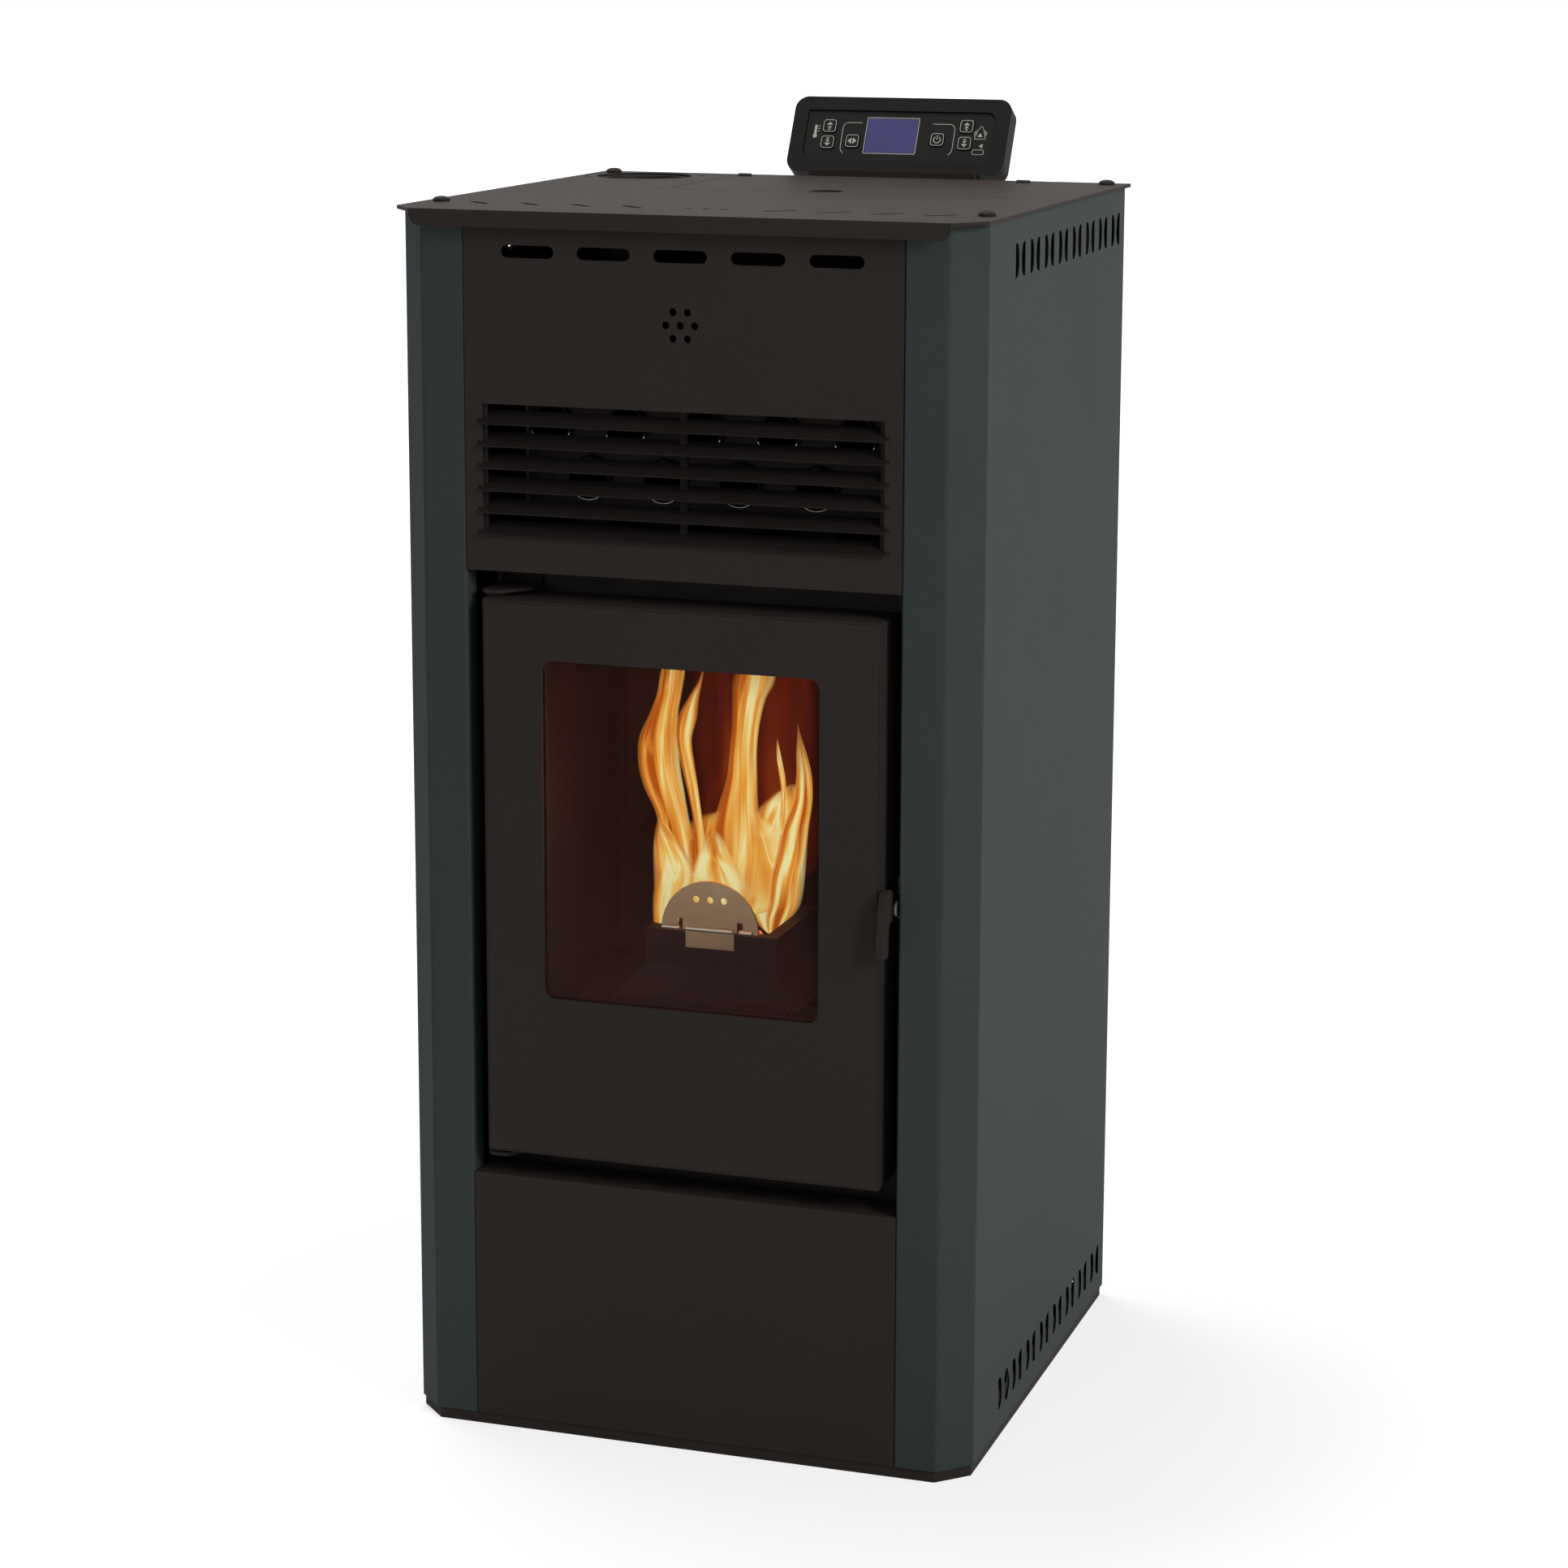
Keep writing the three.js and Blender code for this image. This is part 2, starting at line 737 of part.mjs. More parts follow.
function makeSidePanel(hand) {
  const corners = [
    v2(openHalf, frontReturn), v2(openHalf, 0), v2(halfWidth - cornerCutX, 0),
    v2(halfWidth, cornerCutY), v2(halfWidth, casingDepth), v2(halfWidth - rearReturn, casingDepth),
  ];
  const radii = [0, returnRadius, bendRadius, bendRadius, returnRadius, 0];
  const outline = foldedStrip(fillet(corners, radii, false), sheet);
  const mirrored = outline.map((point) => v2(hand * point.x, point.y));
  const panel = prism(mirrored, "z", 0, casingHeight);
  const slots = [];
  for (let i = 0; i < sideSlotCount; i++) {
    const y = sideSlotFirstY + i * sideSlotPitch;
    const bow = (i % 2 ? 1 : -1) * sideSlotBow;
    for (const z of [casingHeight - upperSlotBelowTop, lowerSlotAboveBottom + plinthHeight / 5]) {
      const from = hand > 0 ? halfWidth - sheet - 1 : -halfWidth - 1;
      slots.push(prism(bowedSlot(v2(y, z), bow), "x", from, from + sheet + 2));
    }
  }
  const tabs = screwPlaces().filter((place) => place.x * hand > 0).map((place) => {
    const edges = [hand * (halfWidth - sheet / 2), place.x - hand * tabHalf].sort((a, b) => a - b);
    const rear = Math.min(place.y + tabHalf, rearPanelFront - gap);
    return cut(
      box(edges[0], edges[1], place.y - tabHalf, rear, casingHeight - sheet, casingHeight),
      prism(circle(v2(place.x, place.y), screwShankRadius + gap, holeFacets), "z", casingHeight - sheet - 1,
        casingHeight + 1),
      prism(circle(v2(flueX, flueY), flueRadius + collarWidth + 3 * gap, flueFacets), "z",
        casingHeight - sheet - 1,
        casingHeight + 1),
    );
  });
  return join(cut(panel, ...slots), ...tabs);
}

function makeRearPanel() {
  const half = halfWidth - sheet - gap;
  const plate = box(-half, half, rearPanelFront, rearPanelBack, gap, casingHeight);
  const through = [rearPanelFront - 1, rearPanelBack + 1];
  const openings = [
    bar(intakeRadius + gap, "y", ...through, v2(intakeX, intakeZ), tubeFacets),
    box(inletX - inletWidth / 2 + inletLip, inletX + inletWidth / 2 - inletLip, ...through,
      inletBottom + inletLip, inletBottom + inletHeight - inletLip),
  ];
  for (let i = 0; i < rearVentCount; i++) {
    for (const hand of [-1, 1]) {
      const place = v2(hand * (rearVentX + rearVentWidth / 2), rearVentFirstZ + i * rearVentPitch);
      openings.push(prism(stadium(place, rearVentWidth, rearVentHeight), "y", ...through));
    }
  }
  return cut(plate, ...openings);
}

/** A front panel with its folds, as a block with a pocket behind the face. */
function framedPanel(bottom, top, sideFold, topFold) {
  const depth = Math.max(sideFold, topFold);
  const block = box(-panelHalf, panelHalf, 0, depth, bottom, top);
  const pocket = box(-panelHalf + sheet, panelHalf - sheet, frontSheet, depth + 1, bottom + sheet,
    top - sheet);
  if (topFold <= sideFold) return cut(block, pocket);
  const belowTopFold = box(-panelHalf - 1, panelHalf + 1, sideFold, depth + 1, bottom - 1, top - sheet);
  return cut(block, pocket, belowTopFold);
}

/** The side section of one louvre blade, front edge low. */
function bladeSection(index, swell) {
  const z = grilleBottom + index * bladePitch;
  const half = bladeThickness / 2 + swell;
  const along = v2(bladeDepth, bladeRise).normalize();
  const across = v2(-along.y, along.x).multiplyScalar(half);
  const front = v2(-bladeProud, z + bladeThickness);
  const rear = front.clone().add(v2(bladeDepth, bladeRise));
  const swollenFront = front.clone().addScaledVector(along, -swell);
  return [
    swollenFront.clone().sub(across), rear.clone().sub(across),
    rear.clone().add(across), swollenFront.clone().add(across),
  ];
}

function makeUpperPanel() {
  const openings = [
    box(-grilleHalf, grilleHalf, -1, frontSheet + 1, grilleBottom, grilleBottom + grilleHeight),
  ];
  for (let i = 0; i < ventCount; i++) {
    const place = v2((i - (ventCount - 1) / 2) * ventPitch, casingHeight - ventBelowTop);
    openings.push(prism(stadium(place, ventWidth, ventHeight, 0, 5), "y", -1, frontSheet + 1));
  }
  const centre = v2(0, casingHeight - rosetteBelowTop);
  openings.push(bar(rosetteHoleRadius, "y", -1, frontSheet + 1, centre, holeFacets));
  for (const place of arc(centre, rosetteRadius, 0, 360 - 360 / rosetteHoles, rosetteHoles - 1)) {
    openings.push(bar(rosetteHoleRadius, "y", -1, frontSheet + 1, place, holeFacets));
  }
  const reach = grilleHalf + bladeOverlap + gap;
  for (let i = 0; i < bladeCount; i++) {
    openings.push(prism(bladeSection(i, gap), "x", -reach, reach));
  }
  return cut(framedPanel(upperPanelBottom, casingHeight, panelFlange, panelFlange), ...openings);
}

function makeLowerPanel() {
  return framedPanel(0, lowerPanelTop, panelFlange, lowerTopFlange);
}

function makeGrille() {
  const reach = grilleHalf + bladeOverlap;
  const plan = fillet(
    [v2(-reach, -bladeProud - 1), v2(reach, -bladeProud - 1), v2(reach, bladeDepth), v2(-reach, bladeDepth)],
    [bladeCorner + 1, bladeCorner + 1, 0, 0],
  );
  const mask = prism(plan, "z", grilleBottom - bladePitch, grilleBottom + grilleHeight + bladePitch);
  const blades = [];
  for (let i = 0; i < bladeCount; i++) {
    blades.push(prism(bladeSection(i, 0), "x", -reach, reach).intersect(mask));
  }
  const rearY = bladeDepth - bladeProud;
  const top = grilleBottom + grilleHeight + bladePitch / 3;
  const bottom = grilleBottom - bladePitch / 3;
  const post = box(-grillePostWidth / 2, grillePostWidth / 2, rearY - grillePostDepth, rearY - gap,
    bottom + sheet / 2, top - sheet / 2);
  const outer = reach + sheet;
  const inner = outer - grilleEndWidth;
  const frontY = frontSheet + gap;
  const frame = cut(
    box(-outer, outer, frontY, rearY, bottom, top),
    box(-inner, inner, frontY - 1, rearY + 1, bottom + sheet, top - sheet),
    box(-outer - 1, outer + 1, frontY + sheet, rearY + 1, bottom + sheet, top - sheet),
  );
  return join(...blades, post, frame);
}

// ---------------------------------------------------------------- top plate, flue and hopper lid

function lidKnuckles(swell) {
  const length = lidKnuckleLength + 2 * swell;
  return [lidLeft + lidKnuckleLength / 2 + lidKnuckleFromEnd,
    lidRight - lidKnuckleLength / 2 - lidKnuckleFromEnd].map((x) =>
    bar(lidKnuckleRadius + swell, "x", x - length / 2, x + length / 2, v2(lidRearY, plateTop), shaftFacets));
}

function screwPlaces() {
  const x = halfWidth - screwInsetX;
  const rear = casingDepth - screwRearInset;
  return [
    { name: "top_screw_front_left", x: -x, y: screwFrontY },
    { name: "top_screw_front_right", x, y: screwFrontY },
    { name: "top_screw_rear_left", x: -x, y: rear },
    { name: "top_screw_rear_right", x, y: rear },
  ];
}

function makeTopPlate() {
  const side = halfWidth + topOverhangSide;
  const outline = [
    v2(-side, plateRearY), v2(-side, topCornerY), v2(-lipHalfWidth, -topOverhangFront),
    v2(lipHalfWidth, -topOverhangFront), v2(side, topCornerY), v2(side, plateRearY),
  ];
  const lip = fillet(
    [v2(-lipHalfWidth, plateTop - lipHeight), v2(lipHalfWidth, plateTop - lipHeight),
      v2(lipHalfWidth, plateTop), v2(-lipHalfWidth, plateTop)],
    [lipCorner, lipCorner, 0, 0],
  );
  const plate = join(
    prism(outline, "z", plateBottom, plateTop),
    prism(lip, "y", -topOverhangFront, -topOverhangFront + frontSheet),
  );
  const through = (shape) => prism(shape, "z", plateBottom - 1, plateTop + 1);
  const openings = [
    through(circle(v2(flueX, flueY), flueRadius + flueHoleMargin, flueFacets)),
    box(lidLeft - lidGap, lidRight + lidGap, lidFrontY - lidGap, lidRearY + lidGap, plateBottom - 1,
      plateTop + 1),
    through(circle(v2(lidCentreX, lidFrontY), fingerRadius, discFacets)),
    ...lidKnuckles(gap),
  ];
  const ring = flueRadius + flueHoleMargin + knockoutMargin;
  for (let i = 0; i < knockoutCount; i++) {
    const start = (i * 360) / knockoutCount + knockoutStart;
    openings.push(through([
      ...arc(v2(flueX, flueY), ring, start, knockoutSweep, 8),
      ...arc(v2(flueX, flueY), ring - knockoutSlit, start + knockoutSweep, -knockoutSweep, 8),
    ]));
  }
  for (const hand of [-1, 1]) {
    for (let i = 0; i < topSlotCount; i++) {
      const place = v2(hand * (topSlotFirstX + i * topSlotPitch), topSlotY);
      openings.push(through(stadium(place, topSlotLength, topSlotWidth, hand * topSlotTurn)));
    }
  }
  for (const step of [-1, 0, 1]) {
    openings.push(through(circle(v2(step * topDotPitch, topSlotY), topDotRadius, holeFacets)));
  }
  for (let i = 0; i < slitCount; i++) {
    const place = v2((i - (slitCount - 1) / 2) * slitPitch, slitY);
    openings.push(through(rectangle(place.x - slitLength / 2, place.x + slitLength / 2,
      place.y - slitWidth / 2, place.y + slitWidth / 2)));
  }
  for (const place of screwPlaces()) {
    openings.push(through(circle(v2(place.x, place.y), screwShankRadius + gap, holeFacets)));
  }
  return cut(plate, ...openings);
}

function makeTopScrew(place) {
  const low = plateTop + gap;
  const dome = [
    v2(0, low - screwShankLength), v2(screwShankRadius, low - screwShankLength), v2(screwShankRadius, low),
    v2(screwHeadRadius, low), v2(screwHeadRadius, low + 1),
    ...arc(v2(0, low + 1), 1, screwDomeFoot, 90 - screwDomeFoot, 3).map((point) => v2(
      point.x * screwHeadRadius, low + 1 + (point.y - low - 1) * (screwHeadHeight - 1))),
  ];
  dome[dome.length - 1].x = 0;
  const geometry = new THREE.LatheGeometry(dome, holeFacets);
  geometry.rotateX(Math.PI / 2);
  geometry.translate(place.x, place.y, 0);
  return solid(geometry);
}

function makeLid() {
  const plate = box(lidLeft, lidRight, lidFrontY, lidRearY, plateBottom, plateTop);
  const notch = prism(circle(v2(lidCentreX, lidFrontY), fingerRadius, discFacets), "z", plateBottom - 1,
    plateTop + 1);
  return cut(plate, notch, ...lidKnuckles(gap));
}

/** The inner flue: a pipe with a flat ring welded on under the top plate. */
function makeFluePipe() {
  const at = v2(flueX, flueY);
  const pipe = bar(flueRadius, "z", smokeOutletTop + gap, plateTop - flueStubBelow, at, flueSides);
  const ring = bar(flueRadius + gap + collarWidth, "z", casingHeight - collarThickness, casingHeight, at,
    flueSides);
  const behindRearPanel = box(-halfWidth, halfWidth, rearPanelFront - gap, plateRearY, 0, plateBottom);
  const bore = bar(flueRadius - fluePipeWall, "z", smokeOutletTop - 1, plateTop + 1, at, flueSides);
  return cut(join(pipe, cut(ring, behindRearPanel)), bore);
}

// ---------------------------------------------------------------- hopper

const sealOuter = [
  lidLeft - lidGap - sealUnderPlate, lidRight + lidGap + sealUnderPlate,
  lidFrontY - lidGap - sealUnderPlate, lidRearY + lidGap + sealUnderPlate,
];
const sealInner = shrink(sealOuter, sealWidth);
const sealTop = casingHeight;
const sealBottom = sealTop - sealThickness;
const flangeTop = sealBottom - gap;
const hopperOuter = shrink(sealInner, -hopperWall);
const hopperThroatTop = augerLowZ + hopperThroatAboveAuger;
const hopperStraightBottom = hopperThroatTop + hopperFunnelHeight;

const augerTilt = THREE.MathUtils.degToRad(augerAngle);
const augerAlong = v2(-Math.cos(augerTilt), Math.sin(augerTilt));

/** A point of the auger line, measured from its lower end, in the YZ plane. */
const onAuger = (distance) => v2(augerLowY, augerLowZ).addScaledVector(augerAlong, distance);

/** Stands an upright geometry on the auger line, its foot at a distance from the lower end. */
function alongAuger(geometry, distance) {
  const foot = onAuger(distance);
  geometry.rotateX(Math.PI / 2 - augerTilt);
  geometry.translate(0, foot.x, foot.y);
  return solid(geometry);
}

function augerBar(radius, from, to, sides = 20) {
  const geometry = new THREE.CylinderGeometry(radius, radius, to - from, sides);
  geometry.rotateX(Math.PI / 2);
  geometry.translate(0, 0, (to - from) / 2);
  return alongAuger(geometry, from);
}

const throatRear = augerLowY + throatBehindAuger;
const throatFront = augerLowY - throatBeforeAuger;
const throatBottom = augerLowZ + throatAboveAuger;
const throat = [-throatHalf, throatHalf, throatFront, throatRear];

function makeHopper() {
  const flange = box(...sealOuter, flangeTop - hopperFlange, flangeTop);
  const upper = box(...hopperOuter, hopperStraightBottom, flangeTop);
  const funnel = taper(throat, hopperOuter, hopperThroatTop, hopperStraightBottom);
  const boot = box(...throat, throatBottom, hopperThroatTop);
  const inside = shrink(hopperOuter, hopperWall);
  const throatInside = shrink(throat, hopperWall);
  return cut(
    join(flange, upper, funnel, boot),
    box(...inside, hopperStraightBottom, flangeTop + 1),
    taper(throatInside, inside, hopperThroatTop, hopperStraightBottom),
    box(...throatInside, throatBottom + hopperWall, hopperThroatTop),
    augerBar(augerTubeRadius + gap, -gearboxLength, augerLength, tubeFacets),
  );
}

function ringBand(outer, inner, z0, z1) {
  return cut(box(...outer, z0, z1), box(...inner, z0 - 1, z1 + 1));
}

function makeHopperGuard() {
  const outer = shrink(hopperOuter, hopperWall + gap);
  const top = flangeTop - guardDrop;
  const bars = [];
  const [x0, x1, y0, y1] = outer;
  for (let i = 1; i <= guardBarCount; i++) {
    const x = x0 + ((x1 - x0) * i) / (guardBarCount + 1);
    bars.push(box(x - guardBar / 2, x + guardBar / 2, y0, y1, top - guardBar, top));
  }
  return join(ringBand(outer, shrink(outer, guardBar * 2), top - guardBar, top), ...bars);
}

function makeAugerTube() {
  const tube = cut(
    augerBar(augerTubeRadius, 0, augerLength, tubeFacets),
    augerBar(augerTubeRadius - augerTubeWall, augerTubeWall, augerLength + 1, tubeFacets),
    augerBar(augerShaftRadius + gap, -1, augerTubeWall + 1, shaftFacets),
  );
  const inside = shrink(throat, hopperWall + 1);
  return cut(tube, box(...inside, throatBottom + 6, hopperThroatTop));
}

/** The screw: a round shaft with a helical flight, both measured along the auger line. */
function makeAugerScrew() {
  const start = augerTubeWall + flightStart;
  const end = augerLength - flightEnd;
  const turns = (end - start - augerFlightThickness) / augerPitch;
  const steps = Math.ceil(turns * augerTurnSteps);
  const inner = augerShaftRadius - 1;
  const points = [];
  const faces = [];
  for (let i = 0; i <= steps; i++) {
    const angle = augerStartAngle + (2 * Math.PI * turns * i) / steps;
    const z = (augerPitch * turns * i) / steps;
    for (const [radius, lift] of [
      [inner, 0], [augerFlightRadius, 0], [augerFlightRadius, augerFlightThickness],
      [inner, augerFlightThickness],
    ]) {
      points.push(radius * Math.cos(angle), radius * Math.sin(angle), z + lift);
    }
    if (i === 0) continue;
    const [now, last] = [4 * i, 4 * (i - 1)];
    for (let k = 0; k < 4; k++) {
      const next = (k + 1) % 4;
      faces.push(last + k, now + k, now + next, last + k, now + next, last + next);
    }
  }
  const tail = 4 * steps;
  faces.push(0, 1, 2, 0, 2, 3, tail, tail + 2, tail + 1, tail, tail + 3, tail + 2);
  const flight = new THREE.BufferGeometry();
  flight.setAttribute("position", new THREE.Float32BufferAttribute(points, 3));
  flight.setIndex(faces);
  return join(augerBar(augerShaftRadius, -augerShaftTail, end, shaftFacets), alongAuger(flight, start));
}

function makeAugerMotor() {
  const plate = new THREE.BoxGeometry(gearboxHalf * 2, gearboxHalf * 2, gearboxLength);
  plate.translate(0, 0, gearboxLength / 2);
  const gearbox = alongAuger(plate, -gearboxLength - gap);
  const motor = augerBar(motorRadius, -gearboxLength - gap - motorLength, -gearboxLength, motorFacets);
  const socket = augerBar(augerShaftRadius + gap, -augerShaftTail - gap, gap, shaftFacets);
  return cut(join(gearbox, motor), socket);
}

function makeFeedChute() {
  const front = fireBackY + gap;
  const rear = front + chuteDepth;
  const side = (inset) => [
    v2(front - (inset ? 1 : 0), chuteTop - inset), v2(front - (inset ? 1 : 0),
      chuteFrontLow + inset * chuteFlare),
    v2(front + chuteFlangeDepth, chuteFrontLow + inset * chuteFlare),
    v2(rear - inset, chuteRearLow + inset * chuteFlare),
    v2(rear - inset, chuteTop - inset),
  ];
  return cut(
    prism(side(0), "x", -chuteHalf, chuteHalf),
    prism(side(chuteWall), "x", -chuteHalf + chuteWall, chuteHalf - chuteWall),
    augerBar(augerTubeRadius + gap, 0, augerLength + gap, tubeFacets),
  );
}

// ---------------------------------------------------------------- firebox

function makeFirebox() {
  const shell = join(
    box(-fireHalf, fireHalf, fireFrontY, fireBackY, fireBottom, fireTop),
    box(-fireFrameHalf, fireFrameHalf, fireFrontY, fireFrontY + fireFrame, fireBottom - fireFrameBelow,
      fireTop + fireFrameAbove - openingLip),
    box(-fireHalf, -fireHalf + fireWall, fireFrontY, fireBackY, trayFloor + gap, fireBottom + fireWall),
    box(fireHalf - fireWall, fireHalf, fireFrontY, fireBackY, trayFloor + gap, fireBottom + fireWall),
  );
  const inner = fireHalf - fireWall;
  const smokeHole = fireHalf - smokeHoleMargin;
  const hearth = box(-inner - 1, inner + 1, fireFrontY + fireFrame, fireBackY - 1, hearthZ - hearthThickness,
    hearthZ);
  const ashSlots = [-1, 1].map((hand) => {
    const edges = [hand * (inner - hearthSlotInset),
      hand * (inner - hearthSlotInset - hearthSlotWidth)].sort((a, b) => a - b);
    return box(edges[0], edges[1], fireFrontY + hearthSlotFromFront, fireBackY - hearthSlotFromBack,
      hearthZ - hearthThickness - 1, hearthZ + 1);
  });
  const potHole = box(-potHolderTopHalf + openingLip, potHolderTopHalf - openingLip,
    potFrontY + openingLip, potFrontY + potDepth - openingLip,
    hearthZ - hearthThickness - 1, hearthZ + 1);
  const hollow = cut(
    shell,
    box(-inner, inner, fireFrontY + fireFrame, fireBackY - fireWall, fireBottom + fireWall,
      fireTop - fireWall),
    box(-fireDoorHalf, fireDoorHalf, fireFrontY - 1, fireFrontY + fireFrame + 1, fireBottom + fireDoorLow,
      fireTop - fireDoorHigh),
    box(-smokeHole, smokeHole, fireFrontY + smokeHoleMargin, fireBackY - smokeHoleMargin,
      fireTop - fireWall - 1,
      fireTop + 1),
    box(-chuteHalf + chuteMouthLip, chuteHalf - chuteMouthLip, fireBackY - fireWall - 1, fireBackY + 1,
      chuteFrontLow + chuteMouthLip, chuteRearLow + chuteMouthRise),
    bar(igniterRadius + 1, "y", fireBackY - fireWall - 1, fireBackY + 1, v2(0, igniterZ), shaftFacets),
    bar(intakeRadius - intakeWall, "y", fireBackY - fireWall - 1, fireBackY + 1, v2(intakeX, intakeZ),
      tubeFacets),
    box(smokePortX - smokePortHalf, smokePortX + smokePortHalf, fireBackY - fireWall - 1, fireBackY + 1,
      fireBottom + openingLip, fireBottom + smokeDuctHeight - openingLip),
  );
  return join(hollow, cut(hearth, potHole, ...ashSlots));
}

function makeLining() {
  const inner = fireHalf - fireWall - gap;
  const rear = fireBackY - fireWall - gap;
  const front = rear - liningThickness;
  const low = hearthZ + gap;
  const high = fireTop - fireWall - baffleDrop;
  const plate = box(-inner, inner, front, rear, low, high);
  const pitch = (2 * inner) / liningRibs;
  const ribs = [];
  for (let i = 0; i < liningRibs; i++) {
    const x = -inner + (i + 0.5) * pitch;
    ribs.push(taper(
      [x - pitch * liningRibShare, x + pitch * liningRibShare, front - liningRibDepth, front + 1],
      [x - pitch * liningRibShare, x + pitch * liningRibShare, front - liningRibDepth, front + 1],
      low + liningRibMargin, high - liningRibMargin,
    ));
  }
  return cut(
    join(plate, ...ribs),
    box(-chuteHalf + chuteMouthLip, chuteHalf - chuteMouthLip, front - liningRibDepth - 1, rear + 1,
      chuteFrontLow + chuteMouthLip, chuteRearLow + chuteMouthRise),
    bar(igniterRadius + 1, "y", front - liningRibDepth - 1, rear + 1, v2(0, igniterZ), shaftFacets),
  );
}

function makeBaffle() {
  const inner = fireHalf - fireWall - gap;
  const high = fireTop - fireWall - baffleDrop + gap + baffleThickness;
  return box(-inner, inner, fireFrontY + baffleMargin, fireBackY - fireWall - gap,
    high - baffleThickness, high);
}

const potTop = hearthZ + gap + potHolderHeight;

function makePotHolder() {
  const foot = [-potHolderFootHalf, potHolderFootHalf, potFrontY - potFootMargin * 0.7,
    potFrontY + potDepth + potFootMargin];
  const crown = [-potHolderTopHalf, potHolderTopHalf, potFrontY, potFrontY + potDepth];
  const low = hearthZ + gap;
  const body = join(
    taper(foot, foot, low, low + openingLip),
    taper(shrink(foot, potShoulder), crown, low + openingLip, potTop - potRimHeight),
    box(...crown, potTop - potRimHeight, potTop),
  );
  const well = shrink(crown, potRimWidth);
  const igniterHole = bar(igniterRadius + 1, "y", potFrontY + potDepth / 2,
    potFrontY + potDepth + potHoleBehind,
    v2(0, igniterZ), shaftFacets);
  return cut(body, box(...well, low - 1, potTop + 1), igniterHole);
}

function makeBurnPot() {
  const crown = [-potHolderTopHalf, potHolderTopHalf, potFrontY, potFrontY + potDepth];
  const cup = shrink(crown, potRimWidth + gap);
  const low = hearthZ + gap + potHolderHeight * potFloorRise;
  const holes = [];
  const pitch = (potHolderTopHalf - potRimWidth) * potHoleSpread;
  const rowPitch = potDepth * potRowSpread;
  for (let i = 0; i < potHoleGrid; i++) {
    for (let k = 0; k < potHoleGrid; k++) {
      const place = v2((i - 1) * pitch, potFrontY + potDepth / 2 + (k - 1) * rowPitch);
      holes.push(prism(circle(place, potHoleRadius, 8), "z", low - 1, low + potFloorThickness + 1));
    }
  }
  const igniterHole = bar(igniterRadius + 1, "y", potFrontY + potDepth - potRimWidth - liningRibMargin,
    potFrontY + potDepth, v2(0, igniterZ), shaftFacets);
  return cut(
    join(box(...cup, low, potTop + 1), box(...crown, potTop + gap, potTop + gap + potRim)),
    box(...shrink(cup, potWall), low + potFloorThickness, potTop + potRim + 1),
    igniterHole,
    ...holes,
  );
}

function makeFlamePlate() {
  const low = potTop + gap + potRim + flamePlateFoot;
  const disc = arc(v2(0, low), flamePlateRadius, 0, 180, 16);
  const rear = potFrontY - gap;
  const front = rear - flamePlateThickness;
  const tab = box(-flameTabHalf, flameTabHalf, front, rear, low - flameTabDrop, low + 1);
  const hook = box(-flameTabHalf, flameTabHalf, front, potFrontY + potRimWidth, potTop + gap * 2 + potRim,
    potTop + gap * 2 + potRim + flamePlateThickness);
  const slots = [-1, 1].map((hand) => {
    const x = hand * (flameTabHalf + flameSlotWidth);
    return box(x - flameSlotWidth / 2, x + flameSlotWidth / 2, front - 1, rear + 1, low - 1,
      low + flameSlotHeight);
  });
  const dots = [-1, 0, 1].map((step) =>
    bar(flameDotRadius, "y", front - 1, rear + 1, v2(step * flameDotPitch,
      low + flamePlateRadius * flameDotRise), holeFacets));
  return cut(join(prism(disc, "y", front, rear), tab, hook), ...slots, ...dots);
}

function makeAshDrawer() {
  const inner = fireHalf - fireWall - ashGap;
  const low = fireBottom + fireWall + gap;
  const outer = [-Math.min(inner, fireDoorHalf - 2), Math.min(inner, fireDoorHalf - 2),
    fireFrontY + fireFrame + gap, fireBackY - fireWall - 22];
  const rest = box(...outer, low, low + ashDrawerTop);
  const handle = box(-ashDrawerGripHalf, ashDrawerGripHalf, fireFrontY - 2, fireFrontY + fireFrame + 1,
    low + ashDrawerTop - 2 * ashDrawerGripTop, low + ashDrawerTop - ashDrawerGripTop);
  return join(
    cut(rest, box(...shrink(outer, ashWall), low + ashWall, low + ashDrawerTop + 1)),
    handle,
  );
}

function makeIgniter() {
  const front = potFrontY + potDepth - potRimWidth - potWall - gap + igniterReach;
  const rear = fireBackY + igniterTail;
  return join(
    bar(igniterRadius, "y", front, rear, v2(0, igniterZ), shaftFacets),
    bar(igniterCollarRadius, "y", fireBackY + gap, fireBackY + gap + igniterReach, v2(0, igniterZ),
      pinFacets),
  );
}

const exchangerLow = fireTop + gap;
const exchangerHigh = exchangerLow + exchangerHeight;
const exchangerFront = fireFrontY + fireFrame + gap;

/** The cover of the tube bank: two sides and a roof, open to the firebox below. */
function makeExchangerHood() {
  const inner = fireHalf - exchangerWall;
  return cut(
    box(-fireHalf, fireHalf, exchangerFront, fireBackY, exchangerLow, exchangerHigh),
    box(-inner, inner, exchangerFront - 1, fireBackY + 1, exchangerLow - 1, exchangerHigh - exchangerWall),
  );
}

